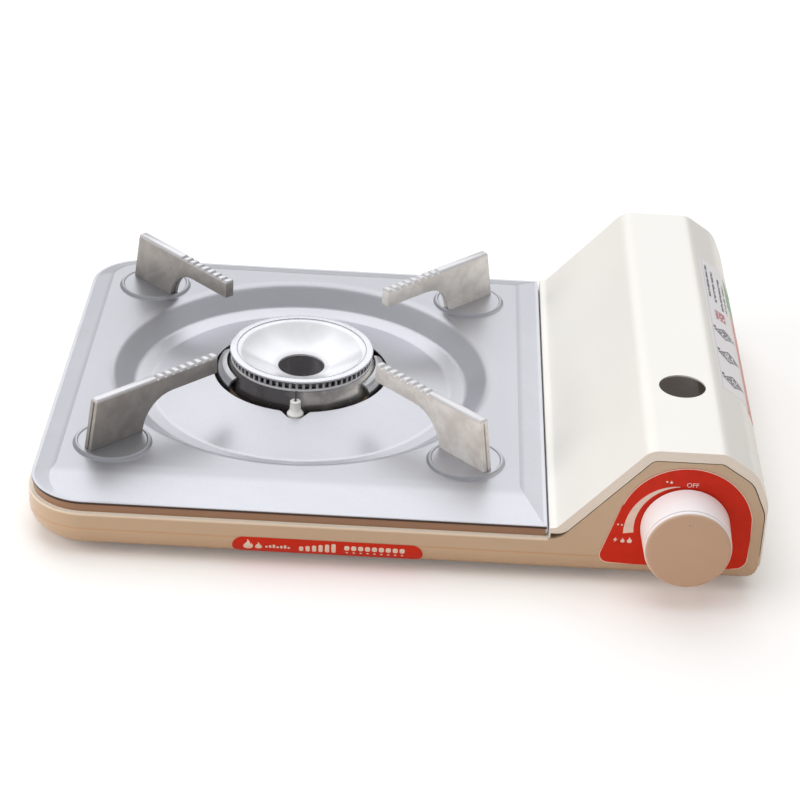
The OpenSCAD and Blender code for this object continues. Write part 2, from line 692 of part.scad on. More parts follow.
// ---- burner -----------------------------------------------------------------
// The bracket's arms end in wide wings that curve in under the ring of ports
wing_r = burner_hole_r - 2;
wing_in = min(body_r + 3.4, wing_r - 3);
wing_z = [24, 32, 37];
wing_spread = 24;
wing_turn = [4, 24];
strap_spread = 7.5;
function wing_arc(t) = [for (a = [0 : 15 : 90])
    [wing_in + (wing_r - wing_in - t) * cos(a), wing_z[1] + (wing_z[2] - wing_z[1] - t) * sin(a)]];
module wedge(z0, z1, spread) {
    translate([0, 0, z0]) linear_extrude(z1 - z0) polygon([[0, 0],
        for (a = [-spread, spread]) 2 * wing_r * [cos(a), sin(a)]]);
}
burner_screw_r = 17.3;
screw_r = 1.9;
module burner_bracket() color(steel) stand() at_burner(strap_angle) difference() {
    union() {
        translate([-wing_r + strap_t / 2, -strap_w / 2, floor_z])
            cube([2 * wing_r - strap_t, strap_w, strap_t]);
        intersection() {
            rotate_extrude() polygon(concat([[wing_r, floor_z]], wing_arc(0),
                [for (i = [6 : -1 : 0]) wing_arc(strap_t)[i]], [[wing_r - strap_t, floor_z]]));
            for (i = [0, 1]) rotate([0, 0, 180 * i]) {
                wedge(floor_z - 1, wing_z[0] + 1, strap_spread);
                rotate([0, 0, wing_turn[i]]) wedge(wing_z[0], wing_z[2] + 1, wing_spread);
            }
        }
    }
    for (s = [-1, 1]) translate([s * burner_screw_r, 0, 0]) cylinder(h = 10, r = screw_r);
}

body_z = floor_z + strap_t;
inner_tube_r = throat_hole_r + 0.6;
chamber_top = tube_z + tube_r + 0.6;
screw_boss_r = 3.6;
// The bowl swells out under the ring of ports; t steps in to its inner side
bowl_steps = [[0.97, 9.9], [1, 8.6], [0.9, 5.6], [0.62, 2.8], [0.3, 0.7]];
function bowl_side(t) = concat([[body_r + 2 - t, ring_z - 13.4 + 0.6 * t]],
    [for (s = bowl_steps) [body_r + bowl_bulge * s[0] - t, ring_z - s[1]]]);
module burner_body() color("#4A4A4E") stand() at_burner() difference() {
    union() {
        rotate_extrude() polygon(concat([[inner_tube_r, body_z], [chamber_r, body_z],
            [chamber_r, chamber_top]], bowl_side(0), [[body_r + 0.8, ring_z],
            [body_r - burner_wall, ring_z]], reversed(bowl_side(burner_wall)), [
            [chamber_r - burner_wall, chamber_top + 0.8],
            [chamber_r - burner_wall, body_z + burner_wall],
            [inner_tube_r, body_z + burner_wall]]));
        rotate([0, 0, strap_angle]) for (s = [-1, 1])
            translate([s * burner_screw_r, 0, body_z]) cylinder(h = 6, r = screw_boss_r);
    }
    translate([0, 0, body_z + burner_wall]) cylinder(h = 20, r = inner_tube_r + burner_wall + 0.1);
    rotate([0, 0, tube_angle]) rod_x([chamber_r - 3.2, 0, tube_z], 10, tube_r);
    rotate([0, 0, strap_angle]) for (s = [-1, 1])
        translate([s * burner_screw_r, 0, 0]) cylinder(h = body_z + 5, r = screw_r);
}

// The tube up the middle stands on the chamber's floor and carries the cap
module burner_throat() color("#4A4A4E") stand() at_burner() difference() {
    throat_z = body_z + burner_wall;
    translate([0, 0, throat_z])
        cylinder(h = cap_z - bowl_depth - cap_t - throat_z, r = inner_tube_r + burner_wall);
    cylinder(h = cap_z, r = inner_tube_r);
}
module flame_port_ring() color("#B9BBC2") stand() at_burner() difference() {
    rotate_extrude() polygon([
        [body_r - burner_wall, ring_z], [body_r + 1.4, ring_z], [body_r + 1.4, ring_z + 0.8],
        [body_r + 1.1, ring_z + 1.1], [body_r + 1.1, ring_z + port_ring_h],
        [body_r - burner_wall, ring_z + port_ring_h]]);
    for (i = [0 : ports - 1]) rotate([0, 0, i * 360 / ports])
        translate([body_r - burner_wall - 1, -port_w / 2, ring_z + port_ring_h - port_h])
            cube([burner_wall + 4, port_w, port_h + 1]);
}

bowl_r = cap_r - cap_rim_w;
module burner_cap() color("#DADCE2") stand() at_burner() rotate_extrude() polygon(concat(
    [[cap_r - 0.5, cap_z], [bowl_r, cap_z], [bowl_r - 0.3, cap_z - 0.6],
        [bowl_r - 1.8, cap_z - 0.8]],
    [for (i = [1 : 6]) let (f = i / 6) [bowl_r - 1.8 - (bowl_r - 1.8 - throat_hole_r) * f,
        cap_z - 0.8 - (bowl_depth - 0.8) * (1.35 * f - 0.35 * f * f)]],
    [[throat_hole_r, cap_z - bowl_depth - 1]],
    [for (i = [6 : -1 : 1]) let (f = i / 6) [bowl_r - 1.8 - (bowl_r - 1.8 - throat_hole_r) * f
        + (i == 6 ? 0.6 : 0.2), cap_z - 0.8 - (bowl_depth - 0.8) * (1.35 * f - 0.35 * f * f)
        - cap_t]],
    [[bowl_r - 2.4, cap_z - cap_t - 0.8], [bowl_r - 0.6, cap_z - cap_t],
        [cap_r, cap_z - cap_t], [cap_r, cap_z - 0.5]]));

module burner_screws() color(steel) stand() at_burner(strap_angle)
    for (s = [-1, 1]) translate([s * burner_screw_r, 0, 0]) {
        translate([0, 0, foot_h - 1.9]) cylinder(h = 1.9, r = 3.4);
        translate([0, 0, foot_h - 1.9]) cylinder(h = body_z + 4.5 - foot_h + 1.9, r = screw_r);
    }

// ---- mixing tube and jet -----------------------------------------------------
window = [7, 6];
window_at = tube_end - 11;
module bell_windows() {
    for (s = [-1, 1]) translate([window_at, s * bell_r - 3, tube_z - window[1] / 2])
        cube([window[0], 6, window[1]]);
}
jet_r = 3;
module mixing_tube() color(steel) stand() at_burner(tube_angle) difference() {
    union() {
        rod_x([tube_start, 0, tube_z], tube_end - tube_start, tube_r);
        rod_x([tube_end - bell_len, 0, tube_z], bell_len, bell_r);
    }
    rod_x([tube_start - 1, 0, tube_z], tube_end - tube_start - bell_len + 1, tube_r - tube_wall);
    rod_x([tube_end - bell_len - 0.5, 0, tube_z], bell_len - 1.5, bell_r - tube_wall);
    rod_x([tube_end - 3, 0, tube_z], 6, jet_r);
    bell_windows();
}
module air_shutter() color(brass) stand() at_burner(tube_angle) difference() {
    rod_x([window_at - 2.5, 0, tube_z], window[0] + 2, bell_r + 0.9);
    rod_x([window_at - 5, 0, tube_z], window[0] + 8, bell_r + running);
    for (s = [-1, 1]) translate([window_at + 3, s * bell_r - 3, tube_z - window[1] / 2 + 1])
        cube([window[0] - 2.5, 6, window[1] - 2]);
}
jet_end = tube_end + 7;
module gas_jet() color(brass) stand() at_burner(tube_angle) difference() {
    union() {
        rod_x([tube_end - 6, 0, tube_z], 6, jet_r);
        translate([tube_end, 0, tube_z]) rotate([0, 90, 0]) cylinder(h = 3, r = 4.6, $fn = 6);
        rod_x([tube_end, 0, tube_z], jet_end - tube_end, jet_r);
    }
    rod_x([tube_end - 3, 0, tube_z], 20, 1);
    rod_x([tube_end - 8, 0, tube_z], 8, 0.35);
}

// The pipe runs on from the jet, through the partition, and turns to the valve
knee_r = 12;
knee_at = (bay_x + 13 - burner_x) / cos(tube_angle);
knee_x = burner_x + knee_at * cos(tube_angle);
outlet_y = burner_y + knee_at * sin(tube_angle);
outlet_x = knob_x - 13.5;
pipe_path = let (a = [cos(tube_angle), sin(tube_angle)])
    [[burner_x + jet_end * a[0], burner_y + jet_end * a[1], tube_z],
    [knee_x, outlet_y, tube_z], [outlet_x, outlet_y, tube_z]];
module gas_pipe() color("#B87B4B") stand() bent_rod(rounded_path(pipe_path, knee_r), pipe_r, 16);
nut_t = 5;
module pipe_nut() {
    difference() {
        rotate([0, 90, 0]) cylinder(h = nut_t, r = 5.2, $fn = 6);
        rod_x([-1, 0, 0], nut_t + 2, pipe_r);
    }
}
module pipe_nuts() color(brass) stand() {
    at_burner(tube_angle) translate([jet_end, 0, tube_z]) pipe_nut();
    translate([outlet_x - nut_t, outlet_y, tube_z]) pipe_nut();
}

// ---- electrode ----------------------------------------------------------------
ceramic_seat = deck_z - 2.5;
pin_r = 0.45;
module electrode_ceramic() color("#F2EFEA") stand() at_burner() translate([0, -electrode_r, 0])
    difference() {
        rotate_extrude() polygon([[0, 14], [2.6, 14], [2.6, ceramic_seat],
            [ceramic_r, ceramic_seat], [ceramic_r, ceramic_seat + 3.6],
            [ceramic_r - 1.1, ceramic_seat + 5.6], [ceramic_r - 1.4, ceramic_z - 0.6],
            [ceramic_r - 2, ceramic_z], [0, ceramic_z]]);
        cylinder(h = 60, r = pin_r);
    }
module electrode_pin() color("#8E8F94") stand() at_burner() translate([0, -electrode_r, 0])
    bent_rod(rounded_path([[0, 0, 11], [0, 0, ceramic_z + 1], [0, 3.6, ceramic_z + 3.4]], 1), pin_r);
module electrode_bracket() color(steel) stand() at_burner() translate([0, -electrode_r, 0])
    difference() {
        union() {
            translate([-4.5, -12, ceramic_seat - 1]) cube([9, 16.5, 1]);
            translate([-4.5, -12, floor_z]) cube([9, 1, ceramic_seat - floor_z]);
            translate([-4.5, -24, floor_z]) cube([9, 13, 1]);
        }
        cylinder(h = 60, r = 2.6);
        translate([0, -18, 0]) cylinder(h = 10, r = screw_r);
    }
// The lead runs from the pin along the floor, through the partition, to the igniter
lead_r = 1.4;
lead_path = [[burner_x, burner_y - electrode_r, 11], [burner_x, burner_y - electrode_r, 8],
    [burner_x + 8.8, 84, 8], [burner_x + 27.8, 40, 8], [burner_x + 52.8, 26, 8],
    [burner_x + 82.8, lead_hole[0], 8],
    [bay_x - 22, lead_hole[0], lead_hole[1]], [piezo_left - 9, lead_hole[0], lead_hole[1]],
    [piezo_left - 7, 14, 20], [piezo_left - 5, piezo_y, 28], [piezo_left - 4, piezo_y, knob_z],
    [piezo_left, piezo_y, knob_z]];
module ignition_lead() color("#D8D2C4") stand() bent_rod(rounded_path(lead_path, 1.5), lead_r, 8);

// ---- valve, regulator and socket ------------------------------------------------
valve_left = knob_x - 13.5;
bracket_right = cartridge_x + 25;
screw_places = [[knob_x - 22, plate_y + 20], [knob_x + 19, plate_y + 20],
    [burner_x, burner_y - electrode_r - 18]];
module valve_bracket() color(steel) stand() difference() {
    union() {
        translate([0, plate_y, 0]) along_y(bracket_t) polygon([
            [piezo_left - 1, floor_z], [bracket_right, floor_z],
            [bracket_right, regulator_z - 3], [valve_left - 6, regulator_z - 3],
            [piezo_left - 1, knob_z + 5.5]]);
        translate([valve_left - 12, plate_y, floor_z])
            cube([bracket_right - valve_left + 12, 30, bracket_t]);
    }
    rod_y([knob_x, 0, knob_z], 30, 9);
    for (i = [0, 1]) translate([screw_places[i][0], screw_places[i][1], 0])
        cylinder(h = 10, r = screw_r);
    translate([feet_x[1], feet_y[0], 0]) cylinder(h = 10, r = bead_r + 0.5);
}
module bracket_screws() color(steel) stand() for (p = screw_places) translate([p[0], p[1], 0]) {
    translate([0, 0, foot_h - 1.9]) cylinder(h = 1.9, r = 3.4);
    translate([0, 0, foot_h - 1.9]) cylinder(h = 8, r = screw_r);
    translate([0, 0, floor_z + bracket_t]) cylinder(h = 2.4, r = 3.4, $fn = 6);
}

module valve_body() color("#9C9EA3") stand() difference() {
    union() {
        rod_y([knob_x, nose_y, knob_z], plate_y + bracket_t - nose_y + 3, 9);
        translate([valve_left, plate_y + bracket_t, tube_z - 5])
            cube([27, body_back - plate_y - bracket_t, regulator_z - 5 - tube_z + 5]);
        rod_y([cartridge_x, body_back - 4, cartridge_z], socket_y - 6 - body_back + 4, 11);
        translate([knob_x, reg_y, regulator_z - 6]) cylinder(h = 6, r = 8);
    }
    // spindle bore, gas outlet, socket bore and the way up to the regulator
    rod_y([knob_x, nose_y - 1, knob_z], 21, spindle_r + running);
    rod_x([valve_left - 1, outlet_y, tube_z], 9, pipe_r - 0.8);
    rod_y([cartridge_x, body_back - 4, cartridge_z], 20, 5);
    translate([knob_x, reg_y, knob_z]) cylinder(h = regulator_z - knob_z + 1, r = 2);
}
reg_y = plate_y + 14;
flange_t = 1.6;
module at_regulator() {
    translate([knob_x - 1, reg_y, regulator_z]) children();
}
reg_screw_r = regulator_r - 2.6;
module regulator_screw_holes() {
    for (a = [45 : 90 : 315]) rotate([0, 0, a]) translate([reg_screw_r, 0, -1])
        cylinder(h = 12, r = 1.3);
}
module regulator_body() color("#A9ABB0") stand() at_regulator() difference() {
    rotate_extrude() polygon([[0, 0], [regulator_r - 5, 0], [regulator_r - 3.4, 3],
        [regulator_r, 3], [regulator_r, 5], [regulator_r - 5, 5], [regulator_r - 6, 2],
        [0, 2]]);
    translate([1, 0, -1]) cylinder(h = 5, r = 2);
    regulator_screw_holes();
}
module regulator_diaphragm() color("#3A3A3A") stand() at_regulator() difference() {
    translate([0, 0, 5]) cylinder(h = 1, r = regulator_r - 0.3);
    regulator_screw_holes();
}
spring_r = 6;
spring_wire = 0.6;
spring_turns = 4;
spring_steps = 14;
spring_h = 7.4;
function spring_at(i) = let (a = i * 360 / spring_steps)
    [spring_r * cos(a), spring_r * sin(a), spring_h * i / (spring_turns * spring_steps)];
module regulator_spring() color("#B5B7BC") stand() at_regulator()
    translate([0, 0, 6 + spring_wire]) {
        rings = spring_turns * spring_steps;
        sides = 6;
        points = [for (i = [0 : rings], k = [0 : sides - 1])
            let (a = i * 360 / spring_steps, t = k * 360 / sides)
            spring_at(i) + spring_wire * [cos(a) * cos(t), sin(a) * cos(t), sin(t)]];
        faces = concat(
            [for (i = [0 : rings - 1], k = [0 : sides - 1]) let (n = (k + 1) % sides)
                [i * sides + k, (i + 1) * sides + k, (i + 1) * sides + n, i * sides + n]],
            [[for (k = [0 : sides - 1]) k]],
            [[for (k = [sides - 1 : -1 : 0]) rings * sides + k]]);
        polyhedron(points, faces);
    }
dome_h = 9.6;
module regulator_cover() color("#B4B6BB") stand() at_regulator() translate([0, 0, 6])
    difference() {
        rotate_extrude() polygon([[0, dome_h + flange_t], [8, dome_h + flange_t],
            [9.5, dome_h], [10, 4.4], [regulator_r - 5.4, 3.4], [regulator_r - 5, flange_t],
            [regulator_r, flange_t], [regulator_r, 0], [regulator_r - 6.5, 0],
            [regulator_r - 6.8, 2], [8.5, 3], [8.2, dome_h], [0, dome_h]]);
        translate([0, 0, -6]) regulator_screw_holes();
    }
module regulator_screws() color(steel) stand() at_regulator()
    for (a = [45 : 90 : 315]) rotate([0, 0, a]) translate([reg_screw_r, 0, 3.2]) {
        cylinder(h = 2.8 + flange_t, r = 1.3);
        translate([0, 0, 2.8 + flange_t]) cylinder(h = 1.6, r = 2.4);
    }

module at_socket(y) {
    translate([cartridge_x, y, cartridge_z]) rotate([-90, 0, 0]) children();
}
module cartridge_socket() color(brass) stand() at_socket(body_back - 4) difference() {
    cylinder(h = socket_y - body_back + 4, r = 5);
    translate([0, 0, socket_y - body_back - 6]) cylinder(h = 12, r = stem_r + stem_clearance);
    translate([0, 0, socket_y - body_back - 5.5]) cylinder(h = 2, r = 3.4);
    translate([0, 0, -1]) cylinder(h = 16, r = 0.8);
}
module socket_seal() color("#1E1E1E") stand() at_socket(socket_y - 8.5)
    rotate_extrude() translate([2.9, 0]) circle(0.5, $fn = 24);
holder_t = 6;
magnet_r = 4;
magnet_at = 14.5;
module magnet_holder() color("#5C5D61") stand() at_socket(socket_y - holder_t) difference() {
    cylinder(h = holder_t, r = collar_r);
    translate([0, 0, -1]) cylinder(h = holder_t + 2, r = 5);
    for (i = [0 : magnets - 1]) rotate([0, 0, 90 + i * 360 / magnets])
        translate([magnet_at, 0, 2]) cylinder(h = holder_t, r = magnet_r);
    rotate([0, 0, -90]) translate([collar_r - 2, -3, -1]) cube([4, 6, holder_t + 2]);
}
module socket_magnets() color("#8F9196") stand() at_socket(socket_y - holder_t + 2)
    for (i = [0 : magnets - 1]) rotate([0, 0, 90 + i * 360 / magnets])
        translate([magnet_at, 0, 0]) cylinder(h = holder_t - 2.2, r = magnet_r);
// The guide enters the notch in the cartridge's collar, which has to point up
module collar_guide() color(steel) stand()
    translate([cartridge_x - 3, socket_y - holder_t, cartridge_z + collar_r - 2])
        cube([6, holder_t + 5, 2]);

// ---- control ----------------------------------------------------------------
spindle_back = nose_y + 18;
flat_at = spindle_r - 1.2;
module at_knob(y) {
    translate([knob_x, y, knob_z]) rotate([-90, 0, 0]) children();
}
// The spindle has a flat on its upper side for the knob and the cam
module spindle_shape(len, r, flat) {
    difference() {
        cylinder(h = len, r = r);
        translate([-r - 1, -r - 1, -1]) cube([2 * r + 2, r + 1 - flat, len + 2]);
    }
}
module valve_spindle() color("#8C8E93") stand() {
    at_knob(-knob_out + 6) spindle_shape(knob_out - 6 + cam_y + cam_t, spindle_r, flat_at);
    at_knob(cam_y + cam_t) cylinder(h = spindle_back - cam_y - cam_t, r = spindle_r);
}
// The cam's radius grows evenly, so the plunger moves in step with the knob
cam_steps = 24;
module ignition_cam() color("#E8E6DF") stand() at_knob(cam_y) difference() {
    linear_extrude(cam_t) {
        circle(spindle_r + 3);
        polygon([for (i = [0 : cam_steps]) let (a = 180 + (knob_turn + 12) * (i - 2) / (cam_steps - 2),
            r = cam_r - step_gap + cam_rise * max(0, i - 2) / (cam_steps - 2)
                * (knob_turn + 12) / knob_turn)
            each i == cam_steps ? [[r * cos(a), r * sin(a)], [0, 0]] : [[r * cos(a), r * sin(a)]]]);
    }
    translate([0, 0, -1]) spindle_shape(cam_t + 2, spindle_r, flat_at);
}
pointer_at = 13;
module control_knob() color("#EFEBE2") stand() difference() {
    at_knob(-knob_out) difference() {
        depth = knob_out - knob_gap;
        rotate_extrude() difference() {
            union() {
                polygon([[0, knob_edge_r], [knob_r, knob_edge_r], [knob_r + knob_draft, depth],
                    [0, depth]]);
                square([knob_r - knob_edge_r, knob_edge_r + 0.1]);
                translate([knob_r - knob_edge_r, knob_edge_r]) circle(knob_edge_r);
            }
            translate([spindle_r + 2.5, 2.2]) square([knob_r - spindle_r - 4.1, depth]);
            translate([-10, -5]) square([10, 60]);
        }
        translate([0, 0, 6]) spindle_shape(depth, spindle_r, flat_at);
        translate([0, -pointer_at, -1]) cylinder(h = 1.5, r = 1.1);
    }
}
module piezo_igniter() color("#2F3034") stand() difference() {
    union() {
        translate([piezo_left, plate_y - 8, knob_z - piezo_h / 2]) cube([piezo_len, 8, piezo_h]);
        translate([piezo_left + piezo_len, piezo_y, knob_z])
            rotate([0, 90, 0]) cylinder(h = 1, r = 3);
    }
    rod_x([piezo_left + 8, piezo_y, knob_z], piezo_len, plunger_r + running);
}
module piezo_plunger() color("#D9D4C8") stand() {
    tip = knob_x - cam_r - step_gap;
    rod_x([piezo_left + 8 + cam_rise + 1, piezo_y, knob_z],
        tip - piezo_left - 9 - cam_rise - plunger_r, plunger_r);
    translate([tip - plunger_r, piezo_y, knob_z]) sphere(plunger_r);
}

// ---- lid ----------------------------------------------------------------------
module lid_end() {
    along_y(sheet) polygon(concat(rounded(lid_chain), reversed(rounded(flange_chain))));
    // ear that turns on the hinge pin
    translate([0, ear_y, 0]) along_y(ear_t) difference() {
        union() {
            translate([hinge_x, hinge_z]) circle(hinge_in);
            translate([hinge_x, hinge_z]) square([hinge_in, rim_z - 0.6 - hinge_z]);
        }
        translate([hinge_x, hinge_z]) circle(hinge_r + running);
    }
}
sight_x = (slope_top_x + body_w - shoulder_w) / 2 + 1.2;
module lid() color("#F3F2EE") stand() difference() {
    union() {
        along_y(body_d) lid_skin(0, sheet);
        front_and_rear() lid_end();
    }
    translate([sight_x, sight_y, lid_z - 10]) cylinder(h = 20, r = sight_r);
}
// A printed strip over the shoulder and down the right side
strip_y = [70, 214];
module lid_label() color("#F7F6F2") stand() translate([0, strip_y[0], 0])
    along_y(strip_y[1] - strip_y[0]) intersection() {
        lid_skin(-decal_t / 2, 0);
        translate([body_w - shoulder_w + 3.5, lid_z - shoulder_drop + 1.5])
            square([shoulder_w, shoulder_drop]);
    }
module lid_hinge_pins() color(steel) stand() front_and_rear() {
    rod_y([hinge_x, 0, hinge_z], pin_head_y, hinge_r);
    rod_y([hinge_x, pin_head_y, hinge_z], pin_head_t, hinge_r + 1);
}

lower_case();
rubber_feet();
bay_partition();
cartridge_cradle();
control_decal();
front_label();
top_plate();
pan_support(225);  // support_front_left
pan_support(315);  // support_front_right
pan_support(135);  // support_rear_left
pan_support(45);  // support_rear_right
support_washers();
burner_bracket();
burner_body();
burner_throat();
flame_port_ring();
burner_cap();
burner_screws();
mixing_tube();
air_shutter();
gas_jet();
gas_pipe();
pipe_nuts();
electrode_ceramic();
electrode_pin();
electrode_bracket();
ignition_lead();
valve_bracket();
bracket_screws();
valve_body();
regulator_body();
regulator_diaphragm();
regulator_spring();
regulator_cover();
regulator_screws();
cartridge_socket();
socket_seal();
magnet_holder();
socket_magnets();
collar_guide();
valve_spindle();
ignition_cam();
control_knob();
piezo_igniter();
piezo_plunger();
lid();
lid_label();
lid_hinge_pins();
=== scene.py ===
"""Dresses the cassette stove: rolled sheet edges, spun burner parts, printed marks and finishes."""
import json
import math

import bpy
from mathutils import Matrix, Vector

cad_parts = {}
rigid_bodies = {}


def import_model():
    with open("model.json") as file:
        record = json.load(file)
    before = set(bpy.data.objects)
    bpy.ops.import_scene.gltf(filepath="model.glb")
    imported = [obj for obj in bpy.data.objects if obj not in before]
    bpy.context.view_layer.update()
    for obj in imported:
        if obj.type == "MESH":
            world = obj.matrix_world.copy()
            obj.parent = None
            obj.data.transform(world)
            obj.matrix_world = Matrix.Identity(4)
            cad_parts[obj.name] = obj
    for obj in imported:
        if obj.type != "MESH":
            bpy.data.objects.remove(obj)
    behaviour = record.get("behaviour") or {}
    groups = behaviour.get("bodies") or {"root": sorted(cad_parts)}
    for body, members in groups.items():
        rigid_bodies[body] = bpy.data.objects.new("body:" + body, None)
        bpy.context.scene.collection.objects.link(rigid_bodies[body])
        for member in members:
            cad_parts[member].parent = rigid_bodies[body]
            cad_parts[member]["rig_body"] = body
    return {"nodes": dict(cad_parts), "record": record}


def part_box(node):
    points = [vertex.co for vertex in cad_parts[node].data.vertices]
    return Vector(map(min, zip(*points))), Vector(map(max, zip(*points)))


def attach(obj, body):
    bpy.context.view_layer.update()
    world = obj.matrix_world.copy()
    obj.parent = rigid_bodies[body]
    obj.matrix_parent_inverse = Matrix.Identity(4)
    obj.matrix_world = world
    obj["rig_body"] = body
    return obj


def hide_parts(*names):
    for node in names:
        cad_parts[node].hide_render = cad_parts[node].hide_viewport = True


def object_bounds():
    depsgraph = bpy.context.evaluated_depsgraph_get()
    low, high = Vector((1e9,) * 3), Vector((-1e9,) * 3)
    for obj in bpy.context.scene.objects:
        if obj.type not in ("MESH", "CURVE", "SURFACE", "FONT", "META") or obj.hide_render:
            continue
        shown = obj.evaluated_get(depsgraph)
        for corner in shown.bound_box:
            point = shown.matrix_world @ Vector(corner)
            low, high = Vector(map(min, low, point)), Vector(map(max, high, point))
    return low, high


bl_info = {
    "name": "Cassette Stove Dresser",
    "version": (1, 0, 0),
    "blender": (4, 5, 0),
    "location": "3D View > Sidebar > Stove",
    "description": "Models and finishes the visible pieces of a cassette stove",
    "category": "Object",
}

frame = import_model()
CAD_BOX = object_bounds()
MM = 0.001

# The camera, in metres and degrees, in the stove's own frame
CAMERA_AT = Vector((0.00847, -1.07321, 0.62538))
CAMERA_PITCH = 29.08
CAMERA_YAW = 0.755
CAMERA_ROLL = -3.465
CAMERA_LENS = 108.3
CAMERA_SHIFT_X = -0.0555


# ---- measures taken from the frame ------------------------------------------
def centre(node):
    """The middle of a CAD node's box."""
    low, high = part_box(node)
    return (low + high) / 2


def outer_radius(node):
    """The radius of a round CAD node, from the width of its box."""
    low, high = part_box(node)
    return (high.x - low.x) / 2


BURNER = centre("burner_cap")
KNOB = centre("control_knob")
PLATE_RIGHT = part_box("top_plate")[1].x
TABLE_Z = CAD_BOX[0].z

# Heights of the case's crease and rim, of the plate's border and of its raised middle
CREASE_Z = TABLE_Z + 15.7 * MM
RIM_Z = TABLE_Z + 24.1 * MM
DECK_Z = TABLE_Z + 30 * MM
PLATEAU_Z = TABLE_Z + 33 * MM

# The plate's hem lies further from the burner's axis than this
HEM_FROM = 102 * MM

# The flame scale round the knob: angles, middle radii and widths at its wide end and its tip
SCALE_ANGLES = (190.5, 101.5)
SCALE_RADII = (26.6 * MM, 21.9 * MM)
SCALE_WIDTHS = (4.9 * MM, 0.25 * MM)

# The record's material slot of each CAD node, and how far each pan support is turned
SLOTS = {part["node"]: part["material_slot"] for part in frame["record"]["subparts"]}
SUPPORTS = {"support_front_left": 45, "support_front_right": 135,
            "support_rear_left": 135, "support_rear_right": 45}


# ---- sizes and colours that a user would change ------------------------------
def linear(code):
    """The linear colour of a hexadecimal sRGB code."""
    def channel(text):
        value = int(text, 16) / 255
        return value / 12.92 if value <= 0.04045 else ((value + 0.055) / 1.055) ** 2.4
    return tuple(channel(code[i:i + 2]) for i in (0, 2, 4))


def length_value(name, description, default):
    """A length property, with its default in millimetres."""
    return bpy.props.FloatProperty(name=name, description=description, default=default * MM,
                                   unit="LENGTH", precision=5)


def colour_value(name, description, code):
    """A colour property from a hexadecimal sRGB code."""
    return bpy.props.FloatVectorProperty(name=name, description=description, subtype="COLOR",
                                         size=3, min=0, max=1, default=linear(code))


def strength_value(name, description, default):
    """A strength that can't be negative."""
    return bpy.props.FloatProperty(name=name, description=description, default=default, min=0)


class StoveSizes(bpy.types.PropertyGroup):
    """Sizes of the details that are modelled here."""
    sheet_edge: length_value("Sheet edge", "Rounding of the lid's and the case's bends", 0.7)
    plate_edge: length_value("Plate edge", "Rounding of the drip plate's edges", 0.35)
    cradle_edge: length_value("Cradle edge", "Rounding of the cradle's edges", 0.15)
    support_edge: length_value("Support edge", "Rounding of a pan support's edges", 0.45)
    port_edge: length_value("Port edge", "Rounding of the flame ports' edges", 0.12)
    body_edge: length_value("Body edge", "Rounding of the burner body's edges", 0.3)
    cap_rim: length_value("Cap rim", "Rounding of the burner cap's rim", 0.6)
    cap_wall: length_value("Cap wall", "Thickness of the burner cap's sheet", 1.3)
    cap_throat: length_value("Cap throat", "Radius of the hole in the burner cap", 12)
    bowl_depth: length_value("Bowl depth", "Depth of the burner cap's bowl", 9.2)
    knob_edge: length_value("Knob edge", "Rounding of the knob's front edge", 1.8)
    knob_draft: length_value("Knob draft", "How much the knob narrows to its front", 0.7)
    dimple: length_value("Dimple", "Radius of the pointer's dimple in the knob", 1)
    print_height: length_value("Print height", "Thickness of a printed mark", 0.04)
    film_edge: length_value("Film edge", "Width of the panel film's pale edge", 0.45)


class StoveColours(bpy.types.PropertyGroup):
    """Colours of the stove's finishes."""
    # The case's tan is partly painted shade: the case has the lid's cream enamel, painted darker
    # and warmer for its shaded front faces.
    case: colour_value("Case", "Enamel of the case", "CDB79D")
    lid: colour_value("Lid", "Enamel of the lid", "F1EFEA")
    plate: colour_value("Drip plate", "Satin sheet of the drip plate", "CDCED4")
    # The left and right support tones are shaded and lit copies of one metal, as painted shade and
    # painted light.
    support: colour_value("Left supports", "Strip of the left pan supports", "ABA7A4")
    support_painted_lit: colour_value("Right supports", "Strip of the right pan supports", "F8F2EE")
    cap: colour_value("Burner cap", "Spun aluminium of the cap", "F2F3F8")
    body: colour_value("Burner body", "Darkest steel of the burner body", "605C5E")
    zinc: colour_value("Zinc", "Zinc plating of the parts inside", "C9CACD")
    knob: colour_value("Knob", "Plastic of the knob's side", "FDFAFD")
    red: colour_value("Red print", "Red of the panel film and the front label", "D6301C")
    white: colour_value("White print", "White of the printed marks", "F2E9E4")


class StudioSettings(bpy.types.PropertyGroup):
    """Strengths of the lamps and the world."""
    window_power: strength_value("Window", "Power of the softbox behind, in watts", 16)
    overhead_power: strength_value("Overhead", "Power of the lamp above, in watts", 13)
    side_power: strength_value("Side", "Power of the lamp on the left, in watts", 13)
    fill_power: strength_value("Fill", "Power of the warm lamp in front, in watts", 0.6)
    world_light: strength_value("World", "Strength of the world's light", 0.35)
    world_glossy: strength_value("World in metal", "Strength of the world in reflections", 0.45)


def sizes():
    """The sizes as they are set in the scene."""
    return bpy.context.scene.stove_sizes


def colours():
    """The colours as they are set in the scene."""
    return bpy.context.scene.stove_colours


def studio():
    """The lamps' and the world's strengths as they are set in the scene."""
    return bpy.context.scene.stove_studio


